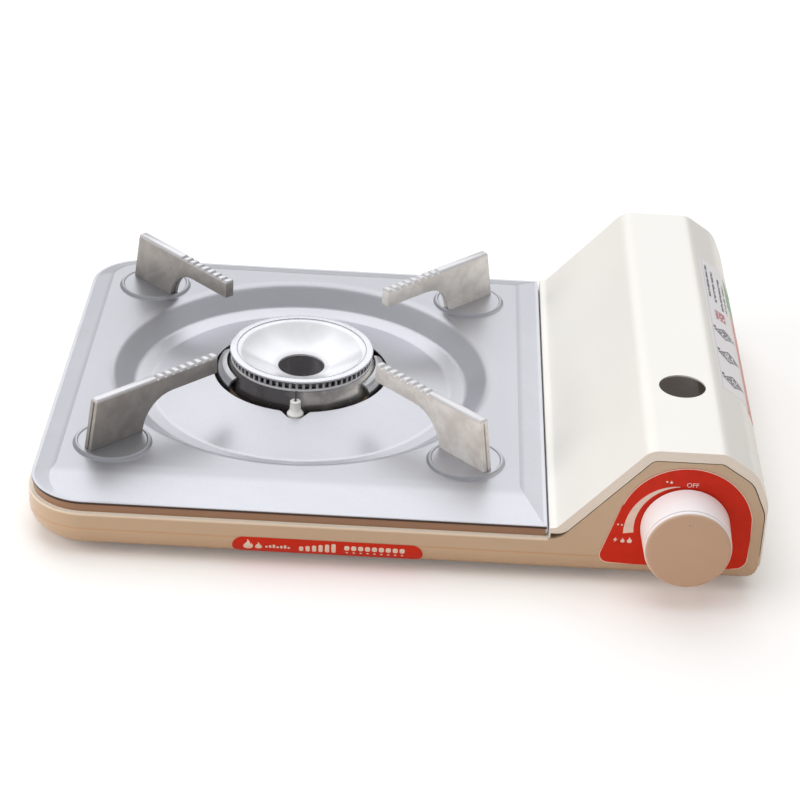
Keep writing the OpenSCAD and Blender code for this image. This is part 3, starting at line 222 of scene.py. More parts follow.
# ---- finishes ----------------------------------------------------------------
class Value:
    """A shader socket that can stand in a Python expression."""

    def __init__(self, finish, socket):
        self.finish = finish
        self.socket = socket

    def _math(self, operation, first, second=None, clamp=False):
        sockets = {0: first} if second is None else {0: first, 1: second}
        settings = {"operation": operation, "use_clamp": clamp}
        return self.finish.node("ShaderNodeMath", settings, sockets)

    def __add__(self, other):
        return self._math("ADD", self, other)

    __radd__ = __add__

    def __sub__(self, other):
        return self._math("SUBTRACT", self, other)

    def __rsub__(self, other):
        return self._math("SUBTRACT", other, self)

    def __mul__(self, other):
        return self._math("MULTIPLY", self, other)

    __rmul__ = __mul__

    def __pow__(self, other):
        return self._math("POWER", self, other)

    def clamped(self):
        """The value kept between 0 and 1."""
        return self._math("ADD", self, 0.0, clamp=True)

    def distance(self, other=0.0):
        """How far the value is from another."""
        return self._math("ABSOLUTE", self - other)

    def sine(self):
        """The value's sine."""
        return self._math("SINE", self)

    def step(self, low, high):
        """A smooth rise from 0 at low to 1 at high, or a fall where high is the lower."""
        if low > high:
            return 1 - self.step(high, low)
        settings = {"interpolation_type": "SMOOTHSTEP"}
        return self.finish.node("ShaderNodeMapRange", settings, {0: self, 1: low, 2: high})


class Finish:
    """A procedural material on object coordinates."""

    def __init__(self, name, colour, metallic=0.0, **constants):
        self.material = bpy.data.materials.new(name)
        self.material.use_nodes = True
        self.material.diffuse_color = (*colour, 1)
        self.nodes = self.material.node_tree.nodes
        self.links = self.material.node_tree.links
        self.shader = self.nodes["Principled BSDF"]
        self.bump = None
        self.drive("Metallic", metallic)
        for socket, value in constants.items():
            self.drive(socket.replace("_", " "), value)

    def node(self, kind, settings=None, sockets=None, output=0):
        """Adds a node, sets it, feeds its sockets, and gives one of its outputs."""
        made = self.nodes.new(kind)
        for name, value in (settings or {}).items():
            setattr(made, name, value)
        for key, value in (sockets or {}).items():
            if isinstance(value, Value):
                self.links.new(value.socket, made.inputs[key])
            else:
                made.inputs[key].default_value = value
        return Value(self, made.outputs[output])

    def drive(self, socket, value):
        """Feeds one socket of the shader."""
        if isinstance(value, Value):
            self.links.new(value.socket, self.shader.inputs[socket])
        else:
            self.shader.inputs[socket].default_value = value

    def place(self, about=(0, 0, 0), turn=0.0, stretch=(1, 1, 1)):
        """Object coordinates from a point, turned about Z in degrees, then stretched."""
        here = self.node("ShaderNodeTexCoord", output="Object")
        moved = self.node("ShaderNodeVectorMath", {"operation": "SUBTRACT"},
                          {0: here, 1: tuple(about)})
        turned = self.node("ShaderNodeVectorRotate", {"rotation_type": "Z_AXIS"},
                           {"Vector": moved, "Angle": math.radians(turn)})
        return self.node("ShaderNodeVectorMath", {"operation": "MULTIPLY"},
                         {0: turned, 1: stretch})

    def axis(self, name, place=None):
        """The X, Y or Z of a place, or of the object coordinates."""
        return self.node("ShaderNodeSeparateXYZ", None, {0: place or self.place()}, name)

    def radius(self, about=(0, 0, 0)):
        """The distance from the upright axis through a point."""
        place = self.place(about)
        x, y = self.axis("X", place), self.axis("Y", place)
        return (x * x + y * y) ** 0.5

    def noise(self, place, scale, detail=3.0, roughness=0.5):
        """Noise from 0 to 1, with scale in cells per metre."""
        return self.node("ShaderNodeTexNoise", None, {
            "Vector": place, "Scale": scale, "Detail": detail, "Roughness": roughness})

    def mix(self, mask, low, high):
        """A colour between two, by a mask."""
        def rgba(colour):
            return colour if isinstance(colour, Value) else (*colour, 1)
        return self.node("ShaderNodeMix", {"data_type": "RGBA"},
                         {"Factor": mask, 6: rgba(low), 7: rgba(high)}, output=2)

    def raised(self, height, distance, strength):
        """Adds a bump, in metres, over the ones before it."""
        sockets = {"Height": height, "Distance": distance, "Strength": strength}
        if self.bump is not None:
            sockets["Normal"] = self.bump
        self.bump = self.node("ShaderNodeBump", None, sockets)
        self.drive("Normal", self.bump)

    def brushed(self, about, turn, along, across, depth):
        """Adds a brushed grain along X, after a turn about Z, with both scales per metre."""
        place = self.place(about, turn, (along / across, 1, 1))
        grain = self.noise(place, across, 2)
        self.raised(grain, depth, 0.25)
        return grain


def shade(colour, factor):
    """A colour made lighter or darker."""
    return tuple(min(1.0, c * factor) for c in colour)


def plate_finish():
    """Satin stainless sheet with a fine grain and faint wiping marks, painted shade on its raised
    middle and a hem darkened as painted shade.
    """
    tone = colours().plate
    finish = Finish("satin_sheet", tone, 0.88)
    grain = finish.brushed((0, 0, 0), 0, 90, 2400, 0.00002)
    cloud = finish.noise(finish.place(), 14, 4)
    wipe = finish.noise(finish.place(BURNER, 25, (0.25, 1, 1)), 60)
    mask = (cloud * 0.6 + wipe * 0.4).step(0.3, 0.75)
    base = finish.mix(mask, shade(tone, 0.96), shade(tone, 1.04))
    height = finish.axis("Z")
    # Painted shade: the raised middle is painted darker than the border.
    painted_plateau_shade = height.step(PLATEAU_Z - 0.9 * MM, PLATEAU_Z - 0.2 * MM)
    base = finish.mix(painted_plateau_shade * 0.8, base, shade(tone, 0.8))
    speck = finish.noise(finish.place(), 1300, 2).step(0.35, 0.65)
    base = finish.mix(speck * 0.12, base, shade(tone, 0.7))
    # Painted shade: the hem under the plate's edge is painted dark brown.
    hem = height.step(DECK_Z - 0.25 * MM, DECK_Z - 0.6 * MM)
    hem = hem * finish.radius(BURNER).step(HEM_FROM, HEM_FROM + 1 * MM)
    finish.drive("Base Color", finish.mix(hem, base, linear("4A3B33")))
    finish.drive("Roughness", 0.29 + cloud * 0.1 + grain * 0.08)
    return finish.material


def support_finish(node):
    """Nickel-plated strip with stains, a painted highlight along its top edge, and painted light on
    the right supports.
    """
    # Painted light: the right supports are painted paler, with less metal, than the left.
    pale = node.endswith("right")
    tone = colours().support_painted_lit if pale else colours().support
    finish = Finish(node.replace("support", "worn"), tone, 0.3 if pale else 0.5)
    grain = finish.brushed(BURNER, SUPPORTS[node], 140, 3000, 0.00004)
    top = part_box(node)[1].z
    # A painted highlight along the top edge: lighter and less rough.
    painted_top_highlight = finish.axis("Z").step(top - 2.2 * MM, top - 0.3 * MM)
    stain = finish.noise(finish.place(BURNER), 90, 5, 0.6)
    base = finish.mix(stain.step(0.35, 0.7), shade(tone, 0.86), shade(tone, 1.1))
    finish.drive("Base Color", finish.mix(painted_top_highlight, base, linear("D9D9DD")))
    finish.drive("Roughness", 0.4 + grain * 0.12 - painted_top_highlight * 0.14)
    finish.raised(stain, 0.00006, 0.3)
    return finish.material


def cap_finish():
    """Bright spun aluminium with fine turned rings, and darker metal on its rim."""
    tone = colours().cap
    finish = Finish("spun_aluminium", tone)
    radius = finish.radius(BURNER)
    ring_pitch = 0.55 * MM
    wobble = finish.noise(finish.place(BURNER), 400, 2) * 0.6
    ring = (radius * (math.tau / ring_pitch) + wobble).sine()
    finish.raised(ring, 0.000012, 0.35)
    cloud = finish.noise(finish.place(), 70)
    base = finish.mix(cloud.step(0.35, 0.7), tone, shade(tone, 0.94))
    hole, edge = sizes().cap_throat, outer_radius("burner_cap")
    # Painted shade: the cap turns greyer towards its hole.
    throat = radius.step(hole + 3.5 * MM, hole + 0.3 * MM)
    base = finish.mix(throat * 0.3, base, linear("8F8B88"))
    rim = radius.step(edge - 5.8 * MM, edge - 4.6 * MM)
    finish.drive("Base Color", finish.mix(rim, base, linear("D3D4DA")))
    finish.drive("Metallic", 0.3 + rim * 0.45)
    finish.drive("Roughness", 0.17 + cloud * 0.12 + ring * 0.02)
    return finish.material


def burner_finish():
    """Dark, glossy, heat-marked steel, lighter towards its right as a painted reflection, with a
    faint painted glow deep in the bore.
    """
    tone = colours().body
    finish = Finish("burner_steel", tone, 0.6, Coat_Weight=0.3, Coat_Roughness=0.12,
                    Emission_Strength=1)
    place = finish.place(BURNER, 0, (1, 1, 0.7))
    smoke = finish.noise(place, 26, 4, 0.6)
    streak = finish.noise(place, 160)
    # Heat marks and streaks, with a painted reflection that lightens the body towards +X.
    heat_marks_and_painted_sheen = smoke * 0.7 + streak * 0.2 + finish.axis("X", place) * 6.0
    finish.drive("Base Color", finish.mix(heat_marks_and_painted_sheen.step(0.36, 0.72), tone, linear("D8D5D2")))
    bore = finish.radius(BURNER).step(15 * MM, 14 * MM)
    finish.drive("Emission Color", finish.mix(bore, (0, 0, 0), linear("343335")))
    finish.drive("Roughness", 0.16 + streak * 0.2)
    finish.raised(streak, 0.00005, 0.2)
    return finish.material


def port_finish():
    """Bright punched steel of the ring of flame ports, painted near black inside as painted shade,
    with a bright lip.
    """
    steel = linear("CFCFD2")
    finish = Finish("port_steel", steel, 0.6)
    low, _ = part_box("flame_port_ring")
    edge = outer_radius("flame_port_ring")
    # Painted shade: the inside of the ring, behind the ports, is painted near black and rough.
    darkening = finish.radius(BURNER).step(edge - 1.3 * MM, edge - 2.2 * MM)
    cloud = finish.noise(finish.place(BURNER), 220)
    face = finish.mix(cloud.step(0.4, 0.7), steel, linear("A6A4A3"))
    lip = finish.axis("Z").step(low.z + 1.2 * MM, low.z + 0.9 * MM)
    face = finish.mix(lip, face, linear("F4F4F6"))
    finish.drive("Base Color", finish.mix(darkening, face, linear("141312")))
    finish.drive("Roughness", 0.22 + darkening * 0.6)
    return finish.material


def enamel(name, tone):
    """Baked enamel with a little orange peel: the finish and its clouded colour."""
    finish = Finish(name, tone, Coat_Weight=0.35, Coat_Roughness=0.16)
    peel = finish.noise(finish.place(), 520, 2)
    cloud = finish.noise(finish.place(), 11)
    finish.raised(peel, 0.00004, 0.12)
    finish.drive("Roughness", 0.26 + cloud * 0.1)
    return finish, finish.mix(cloud.step(0.3, 0.75), shade(tone, 0.975), shade(tone, 1.015))


def enamel_finish(name, tone):
    """Plain baked enamel on pressed steel."""
    finish, base = enamel(name, tone)
    finish.drive("Base Color", base)
    return finish.material


def case_finish():
    """The case's enamel: a fine crease with a painted warm reflection, a painted highlight on its
    rim, painted shade in its recess and a faint painted glow in its bay.
    """
    finish, base = enamel("case_enamel", colours().case)
    finish.drive("Emission Strength", 1)
    x, height = finish.axis("X"), finish.axis("Z")
    crease = height.distance(CREASE_Z).step(0.9 * MM, 0.15 * MM)
    finish.raised(1 - crease, 0.0002, 0.6)
    # The crease's warm line is a painted reflection; its bump above is real.
    base = finish.mix(crease * 0.6, base, linear("CFA27A"))
    beside = x.step(PLATE_RIGHT + 1.5 * MM, PLATE_RIGHT)
    # Painted highlight: the rim's top beside the plate is painted pale.
    lip = height.step(RIM_Z - 1.6 * MM, RIM_Z - 0.4 * MM) * beside
    base = finish.mix(lip, base, linear("F2E8DA"))
    # Painted shade: the recess under the plate's edge is painted dark brown.
    painted_recess_shade = height.step(RIM_Z + 0.1 * MM, RIM_Z + 0.4 * MM) * beside
    painted_recess_shade = painted_recess_shade * height.step(DECK_Z + 0.5 * MM, DECK_Z - 0.1 * MM)
    finish.drive("Base Color", finish.mix(painted_recess_shade, base, linear("9C7558")))
    # A painted glow on the bay's floor.
    bay = x.distance(centre("cartridge_cradle").x).step(32 * MM, 30 * MM)
    bay = bay * finish.axis("Y").distance().step(112 * MM, 110 * MM)
    bay = bay * height.step(TABLE_Z + 7 * MM, TABLE_Z + 6 * MM)
    finish.drive("Emission Color", finish.mix(bay, (0, 0, 0), linear("34302D")))
    return finish.material


def moulded(name, tone, roughness, specular=0.45):
    """Moulding with a fine surface grain: the finish and a cloud for its colour."""
    finish = Finish(name, tone, Specular_IOR_Level=specular)
    grain = finish.noise(finish.place(), 900, 2)
    finish.raised(grain, 0.00005, 0.18)
    finish.drive("Roughness", roughness + grain * 0.1)
    return finish, finish.noise(finish.place(), 60, 2)


def moulded_finish(name, tone, roughness):
    """Plain moulded plastic or rubber."""
    finish, cloud = moulded(name, tone, roughness)
    finish.drive("Base Color", finish.mix(cloud, shade(tone, 0.96), shade(tone, 1.03)))
    return finish.material


def knob_finish():
    """Pale moulded plastic, with painted shade: browner on the knob's face and darker in its
    groove.
    """
    tone = colours().knob
    finish, cloud = moulded("knob_moulding", tone, 0.4, specular=0.4)
    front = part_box("control_knob")[0].y
    depth = finish.axis("Y")
    # Painted shade: a darker line in the groove.
    groove = depth.distance(front + sizes().knob_edge + 0.7 * MM).step(0.4 * MM, 0.15 * MM)
    side = finish.mix(groove * 0.6, tone, linear("B7A9AE"))
    # Painted shade: the face is painted a browner tan than the side, which stays pale.
    face = finish.mix(cloud, linear("CDB09B"), linear("D1B6A2"))
    ahead = depth.step(front + 1.2 * MM, front + 0.2 * MM)
    finish.drive("Base Color", finish.mix(ahead, side, face))
    return finish.material


def metal_finish(name, tone, roughness, scale=180, glow=(0, 0, 0)):
    """Plain plated or cast metal with small stains, and a faint light where glow is given."""
    finish = Finish(name, tone, 1.0, Emission_Strength=1, Emission_Color=(*glow, 1))
    place = finish.place()
    stain = finish.noise(place, scale, 4, 0.6)
    finish.raised(finish.noise(place, scale * 9, 2), 0.00004, 0.2)
    finish.drive("Base Color", finish.mix(stain.step(0.3, 0.7), shade(tone, 0.85), tone))
    finish.drive("Roughness", roughness + stain * 0.16)
    return finish.material


def ceramic_finish():
    """Glazed white ceramic, a little sooty near its tip."""
    tone = linear("FCFBFA")
    finish = Finish("glazed_ceramic", tone, Coat_Weight=0.5, Coat_Roughness=0.1)
    speck = finish.noise(finish.place(), 700)
    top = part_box("electrode_ceramic")[1].z
    darkening = finish.axis("Z").step(top - 4 * MM, top + 1 * MM)
    finish.drive("Base Color", finish.mix(darkening * speck * 0.5, tone, linear("8D877E")))
    finish.drive("Roughness", 0.16 + speck * 0.2)
    return finish.material


def print_finish(name, tone, roughness):
    """Screen-printed film with a slightly uneven ink."""
    finish = Finish(name, tone, Specular_IOR_Level=0.2)
    ink = finish.noise(finish.place(), 240).step(0.25, 0.8)
    finish.drive("Base Color", finish.mix(ink, shade(tone, 0.94), shade(tone, 1.04)))
    finish.drive("Roughness", roughness + finish.noise(finish.place(), 1500, 1) * 0.08)
    return finish.material


def label_finish():
    """The lid's printed label: rules and diamonds, with a green block and a red band."""
    paper = linear("F1F0F4")
    finish = Finish("label_print", paper)
    low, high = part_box("lid_label")
    corner = (low.x, low.y, high.z)
    across = finish.axis("X", finish.place(corner))
    along = finish.axis("Y", finish.place(corner))
    length = high.y - low.y
    blur = 0.2 * MM

    def band(value, start, end):
        return value.step(start - blur, start + blur) * value.step(end + blur, end - blur)

    def column(start, end):
        """A stripe along the label, in millimetres from its left edge."""
        return band(across, start * MM, end * MM)

    def part(start, end):
        """A stretch of the label, in shares of its length."""
        return band(along, length * start, length * end)

    letters = finish.noise(finish.place(corner, 0, (900, 420, 1)), 1.0, 1.0)
    ink = letters.step(0.38, 0.46)
    rules = column(2.2, 3.4) * part(0.70, 0.96) + column(5.2, 6.4) * part(0.68, 0.93)
    rules = rules + column(8.6, 9.8) * part(0.64, 0.90) + column(11.0, 12.0) * part(0.64, 0.88)
    dark = rules * ink
    for at in (0.09, 0.27, 0.44):
        x, y = (across - 7.4 * MM).distance(), (along - length * at).distance()
        diamond = x + y
        ring = diamond.distance(5.2 * MM).step(1.0 * MM, 0.5 * MM)
        detail = diamond.step(4.6 * MM, 4.0 * MM) * letters.step(0.42, 0.48)
        note = column(1.6, 2.9) * (along - length * at).distance(3 * MM).step(1.6 * MM, 1.2 * MM)
        dark = dark + ring * 0.9 + detail * 0.85 + note
    frame_line = across.distance(1.0 * MM).step(0.35 * MM, 0.15 * MM)
    sign = column(4.0, 9.5) * part(0.54, 0.61) * ink
    base = finish.mix(frame_line * 0.5, paper, linear("B9B9C9"))
    base = finish.mix(column(13.2, 30) * part(0.74, 0.98), base, linear("5E9F58"))
    base = finish.mix(column(14.4, 30) * part(-0.1, 0.73), base, linear("D9736A"))
    base = finish.mix((sign * 0.8).clamped(), base, linear("B5455A"))
    base = finish.mix((dark * 0.92).clamped(), base, linear("3E3D48"))
    finish.drive("Base Color", base)
    finish.drive("Roughness", 0.3 + ink * 0.06)
    return finish.material


# ---- modelling helpers --------------------------------------------------------
def only(piece):
    """Selects one object alone and makes it active."""
    bpy.ops.object.select_all(action="DESELECT")
    piece.select_set(True)
    bpy.context.view_layer.objects.active = piece


def select_faces(piece, wanted):
    """Selects, in object mode, the faces for which wanted(face) is true."""
    mesh = piece.data
    for item in (*mesh.vertices, *mesh.edges):
        item.select = False
    for face in mesh.polygons:
        face.select = wanted(face)


def edit(piece, *actions, wanted=None):
    """Runs actions in edit mode, on the faces for which wanted(face) is true or on all."""
    only(piece)
    if wanted:
        select_faces(piece, wanted)
    bpy.ops.object.mode_set(mode="EDIT")
    if not wanted:
        bpy.ops.mesh.select_all(action="SELECT")
    for action in actions:
        action()
    bpy.ops.object.mode_set(mode="OBJECT")


def apply_modifier(piece, kind, **settings):
    """Adds a modifier, sets it and applies it."""
    only(piece)
    modifier = piece.modifiers.new(kind.title(), kind)
    for name, value in settings.items():
        setattr(modifier, name, value)
    bpy.ops.object.modifier_apply(modifier=modifier.name)


def smooth(piece, angle=35):
    """Shades a piece smooth where its faces meet at less than the angle."""
    only(piece)
    bpy.ops.object.shade_smooth_by_angle(angle=math.radians(angle))


def merged(node, name):
    """A new piece on the merged mesh of a CAD node."""
    piece = bpy.data.objects.new(name, frame["nodes"][node].data.copy())
    piece.data.name = name
    piece.data.materials.clear()
    bpy.context.scene.collection.objects.link(piece)
    only(piece)
    if piece.data.has_custom_normals:
        bpy.ops.mesh.customdata_custom_splitnormals_clear()
    edit(piece,
         lambda: bpy.ops.mesh.remove_doubles(threshold=2e-6),
         lambda: bpy.ops.mesh.dissolve_limited(angle_limit=math.radians(0.4)))
    return piece


def ride_on(piece, node, finish):
    """Gives a piece its finish and its slot, and lets it move with a CAD node."""
    piece.data.materials.append(finish)
    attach(piece, frame["nodes"][node]["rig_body"])


def stand_for(piece, node):
    """Puts a piece in a CAD node's place, with the node's finish and slot."""
    ride_on(piece, node, frame["nodes"][node].material_slots[0].material)
    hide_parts(node)


def softened(node, name, width, segments=2, angle=35, shading=40, flat_faces=False):
    """Stands a copy of a CAD node in its place, with its sharp edges rounded.

    With flat_faces, broad faces of pressed sheet keep their flat shading beside soft bends.
    """
    piece = merged(node, name)
    apply_modifier(piece, "BEVEL", width=width, segments=segments, limit_method="ANGLE",
                   angle_limit=math.radians(angle), miter_outer="MITER_ARC")
    smooth(piece, shading)
    if flat_faces:
        apply_modifier(piece, "WEIGHTED_NORMAL", mode="FACE_AREA", weight=50, keep_sharp=True)
    stand_for(piece, node)


# ---- tracing and turning -------------------------------------------------------
def traced(name, points, closed=True, filled=False):
    """A chain of edges through the points, drawn by extruding one vertex from point to point."""
    bpy.ops.object.select_all(action="DESELECT")
    bpy.ops.mesh.primitive_plane_add(size=MM, location=points[0])
    piece = bpy.context.object
    piece.name = piece.data.name = name
    only(piece)
    bpy.ops.object.transform_apply(location=True, rotation=False, scale=False)
    bpy.ops.object.mode_set(mode="EDIT")
    bpy.ops.mesh.select_all(action="SELECT")
    bpy.ops.mesh.merge(type="CENTER")
    route = [Vector(point) for point in points]
    if closed:
        route.append(route[0])
    for start, end in zip(route, route[1:]):
        bpy.ops.mesh.extrude_region_move(TRANSFORM_OT_translate={"value": end - start})
    bpy.ops.mesh.select_all(action="SELECT")
    bpy.ops.mesh.remove_doubles(threshold=1e-6)
    if filled:
        bpy.ops.mesh.edge_face_add()
    bpy.ops.object.mode_set(mode="OBJECT")
    return piece


def turned(name, profile, axis_at, closed=True, upright=True, steps=128):
    """A piece spun from a profile of (radius, along) points, in metres, about an axis."""
    if upright:
        points = [(axis_at.x + r, axis_at.y, a) for r, a in profile]
    else:
        points = [(axis_at.x + r, a, axis_at.z) for r, a in profile]
    piece = traced(name, points, closed)
    axis = (0, 0, 1) if upright else (0, 1, 0)
    edit(piece,
         lambda: bpy.ops.mesh.spin(steps=steps, angle=math.tau, center=axis_at, axis=axis),
         lambda: bpy.ops.mesh.select_all(action="SELECT"),
         lambda: bpy.ops.mesh.remove_doubles(threshold=2e-6),
         lambda: bpy.ops.mesh.dissolve_degenerate(threshold=1e-7),
         lambda: bpy.ops.mesh.select_all(action="SELECT"),
         lambda: bpy.ops.mesh.normals_make_consistent(inside=False))
    smooth(piece)
    return piece


def arc(middle, radius, start, end, count):
    """Points on an arc in profile coordinates, angles in degrees."""
    step = (end - start) / count
    return [(middle[0] + radius * math.cos(math.radians(start + step * i)),
             middle[1] + radius * math.sin(math.radians(start + step * i)))
            for i in range(count + 1)]


# ---- printed shapes, as (x, z) outlines ---------------------------------------------
def at_knob(x, z):
    """A place on the panel, in millimetres from the knob's axis."""
    return KNOB.x + x * MM, KNOB.z + z * MM


def placed(shape, at, size):
    """An outline that is drawn at unit size, brought to its size and place."""
    return [(at[0] + x * size, at[1] + z * size) for x, z in shape]


def disc(at, radius):
    """A round dot."""
    count = 14
    turns = [math.tau * i / count for i in range(count)]
    return placed([(math.cos(turn), math.sin(turn)) for turn in turns], at, radius)


def flame(at, height):
    """A flame with a leaning tip, centred on a point."""
    return placed(((0.00, -0.50), (0.22, -0.46), (0.36, -0.28), (0.36, -0.06), (0.24, 0.14),
                   (0.17, 0.02), (0.12, 0.28), (-0.04, 0.50), (-0.05, 0.26), (-0.20, 0.10),
                   (-0.34, -0.12), (-0.34, -0.32), (-0.20, -0.46)), at, height)


def bolt(at, height):
    """A spark's zigzag, centred on a point."""
    return placed(((0.10, 0.50), (-0.34, -0.06), (-0.04, -0.06), (-0.16, -0.50), (0.34, 0.12),
                   (0.04, 0.12)), at, height)


def bar(x, z, width, height):
    """An upright bar with cut corners, from its lower left corner."""
    cut = min(width, height) * 0.25
    return [(x + cut, z), (x + width - cut, z), (x + width, z + cut),
            (x + width, z + height - cut), (x + width - cut, z + height),
            (x + cut, z + height), (x, z + height - cut), (x, z + cut)]


def flame_scale():
    """The tapering crescent round the knob, out along one edge and back along the other."""
    def between(pair, f):
        return pair[0] + (pair[1] - pair[0]) * f

    def point(f, side):
        turn = math.radians(between(SCALE_ANGLES, f))
        reach = between(SCALE_RADII, f) + side * between(SCALE_WIDTHS, f) / 2
        return KNOB.x + reach * math.cos(turn), KNOB.z + reach * math.sin(turn)
    count = 18
    steps = [i / count for i in range(count + 1)]
    return [point(f, 1) for f in steps] + [point(f, -1) for f in reversed(steps)]


def drawn(name, outlines, face):
    """Filled outlines, joined into one flat piece at a depth of the panel."""
    parts = [traced(name, [(x, face, z) for x, z in points], filled=True)
             for points in outlines]
    piece = parts[0]
    only(piece)
    for part in parts:
        part.select_set(True)
    if len(parts) > 1:
        bpy.ops.object.join()
    piece.data.name = name
    return piece


def printed(name, outlines, face, finish):
    """Thin solid marks on the control panel's film, which they ride with."""
    piece = drawn(name, outlines, face + 0.5 * sizes().print_height)
    step = (0, -1.5 * sizes().print_height, 0)
    edit(piece,
         lambda: bpy.ops.mesh.extrude_region_move(TRANSFORM_OT_translate={"value": step}),
         lambda: bpy.ops.mesh.select_all(action="SELECT"),
         lambda: bpy.ops.mesh.normals_make_consistent(inside=False))
    ride_on(piece, "control_decal", finish)


# ---- operators -----------------------------------------------------------------
class STOVE_OT_finishes(bpy.types.Operator):
    """Gives each CAD node its finish, which a piece in its place takes over"""
    bl_idname = "stove.finishes"
    bl_label = "Finishes"

    def execute(self, context):
        zinc = colours().zinc
        by_slot = {
            "case_paint": case_finish(),
            "lid_paint": enamel_finish("lid_enamel", colours().lid),
            "plate_steel": plate_finish(),
            "cap_aluminium": cap_finish(),
            "port_ring": port_finish(),
            "burner_steel": burner_finish(),
            "ceramic": ceramic_finish(),
            "knob_plastic": knob_finish(),
            "red_print": print_finish("red_film", colours().red, 0.46),
            "white_print": label_finish(),
            "zinc_steel": metal_finish("zinc_plate", zinc, 0.3),
            "zinc_casting": metal_finish("zinc_casting", linear("A5A7AB"), 0.42, 120),
            "brass": metal_finish("turned_brass", linear("CDA65C"), 0.22),
            "copper": metal_finish("copper_tube", linear("BE7E54"), 0.24),
            "rubber_black": moulded_finish("black_rubber", linear("1F1F1F"), 0.65),
            "dark_plastic": moulded_finish("dark_plastic", linear("2E2F33"), 0.4),
            "pale_plastic": moulded_finish("pale_plastic", linear("E6E3DA"), 0.4),
        }
        special = {node: support_finish(node) for node in SUPPORTS}
        special["lid_hinge_pins"] = enamel_finish("pin_enamel", colours().case)
        special["electrode_pin"] = metal_finish("pin_steel", linear("6B6A6C"), 0.34)
        special["cartridge_cradle"] = metal_finish("zinc_in_bay", zinc, 0.3,
                                                   glow=linear("4C4845"))
        for name, piece in frame["nodes"].items():
            finish = special.get(name) or by_slot[SLOTS[name]]
            if not piece.material_slots:
                piece.data.materials.append(finish)
            for place in piece.material_slots:
                place.material = finish
        return {"FINISHED"}


class STOVE_OT_case(bpy.types.Operator):
    """Rounds the bends and lips of the case and its cradle"""
    bl_idname = "stove.case"
    bl_label = "Case"

    def execute(self, context):
        softened("lower_case", "case_shell", sizes().sheet_edge, flat_faces=True)
        softened("cartridge_cradle", "bay_cradle", sizes().cradle_edge, shading=30,
                 flat_faces=True)
        return {"FINISHED"}


class STOVE_OT_plate(bpy.types.Operator):
    """Rounds the edges and the hem of the drip plate"""
    bl_idname = "stove.plate"
    bl_label = "Drip plate"

    def execute(self, context):
        softened("top_plate", "drip_plate_sheet", sizes().plate_edge, shading=12,
                 flat_faces=True)
        return {"FINISHED"}


class STOVE_OT_supports(bpy.types.Operator):
    """Softens the folds, teeth and feet of the four pan supports"""
    bl_idname = "stove.supports"
    bl_label = "Pan supports"

    def execute(self, context):
        for node in SUPPORTS:
            softened(node, node.replace("support", "strip"), sizes().support_edge, angle=50,
                     shading=42)
        return {"FINISHED"}


class STOVE_OT_burner(bpy.types.Operator):
    """Spins the burner's cap and ceramic, and softens its body and its ring of ports"""
    bl_idname = "stove.burner"
    bl_label = "Burner"

    def execute(self, context):
        self.cap()
        softened("flame_port_ring", "port_ring", sizes().port_edge, 1, angle=50)
        softened("burner_body", "burner_bowl", sizes().body_edge, angle=50, shading=45)
        self.ceramic()
        return {"FINISHED"}

    def cap(self):
        """A pressed pan with a flat rim, a thin step, a bowl and a rolled throat."""
        rim, top = outer_radius("burner_cap"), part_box("burner_cap")[1].z
        edge, wall, throat = sizes().cap_rim, sizes().cap_wall, sizes().cap_throat
        inner = rim - 3.6 * MM
        step = top - 0.66 * MM
        start, brim = inner - 1.9 * MM, top - 0.8 * MM
        foot = brim - sizes().bowl_depth
        steps = 20

        def bowl(i, drop):
            f = i / steps
            curve = 1.35 * f - 0.35 * f * f
            return start + (throat - start) * f, brim + (foot - brim) * curve - drop
        profile = [
            (rim - edge, top), (inner + 0.15 * MM, top), (inner, top - 0.12 * MM),
            (inner - 0.15 * MM, top - 0.5 * MM), (inner - 0.45 * MM, step),
            (start + 0.5 * MM, step),
            *(bowl(i, 0) for i in range(steps + 1)),
            (throat - 0.1 * MM, foot - 0.9 * MM), (throat + 0.6 * MM, foot - wall),
            *(bowl(i, wall) for i in range(steps - 1, 0, -1)),
            (inner - 1.2 * MM, top - wall - 0.7 * MM), (inner + 0.6 * MM, top - wall),
            (rim - 0.3 * MM, top - wall),
            *arc((rim - edge, top - edge), edge, -20, 90, 6)[:-1],
        ]
        stand_for(turned("cap_pan", profile, BURNER), "burner_cap")

    def ceramic(self):
        """A glazed post with a conical shoulder, a flange and a small cup round the pin."""
        low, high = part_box("electrode_ceramic")
        flange, top, foot = outer_radius("electrode_ceramic"), high.z, low.z
        post, stem, pin = flange - 1.35 * MM, 2.6 * MM, 0.5 * MM
        seat = top - 10.5 * MM
        profile = [
            (pin, foot), (stem - 0.1 * MM, foot), (stem, foot + 0.1 * MM), (stem, seat),
            (flange - 0.3 * MM, seat),
            *arc((flange - 0.3 * MM, seat + 0.3 * MM), 0.3 * MM, -60, 0, 2),
            (flange, seat + 3.3 * MM),
            *arc((flange - 0.5 * MM, seat + 3.4 * MM), 0.5 * MM, 0, 55, 4)[1:],
            (post + 0.15 * MM, seat + 5.5 * MM), (post, seat + 5.9 * MM),
            (post - 0.15 * MM, top - 0.7 * MM),
            *arc((post - 0.75 * MM, top - 0.6 * MM), 0.6 * MM, 10, 90, 5),
            (pin + 0.5 * MM, top), (pin + 0.3 * MM, top - 0.3 * MM), (pin, top - 0.5 * MM),
        ]
        piece = turned("ceramic_post", profile, centre("electrode_ceramic"), steps=64)
        stand_for(piece, "electrode_ceramic")


class STOVE_OT_lid(bpy.types.Operator):
    """Rounds the lid's edges and the lip of its sight hole"""
    bl_idname = "stove.lid"
    bl_label = "Lid"

    def execute(self, context):
        softened("lid", "bay_lid_shell", sizes().sheet_edge, flat_faces=True)
        return {"FINISHED"}


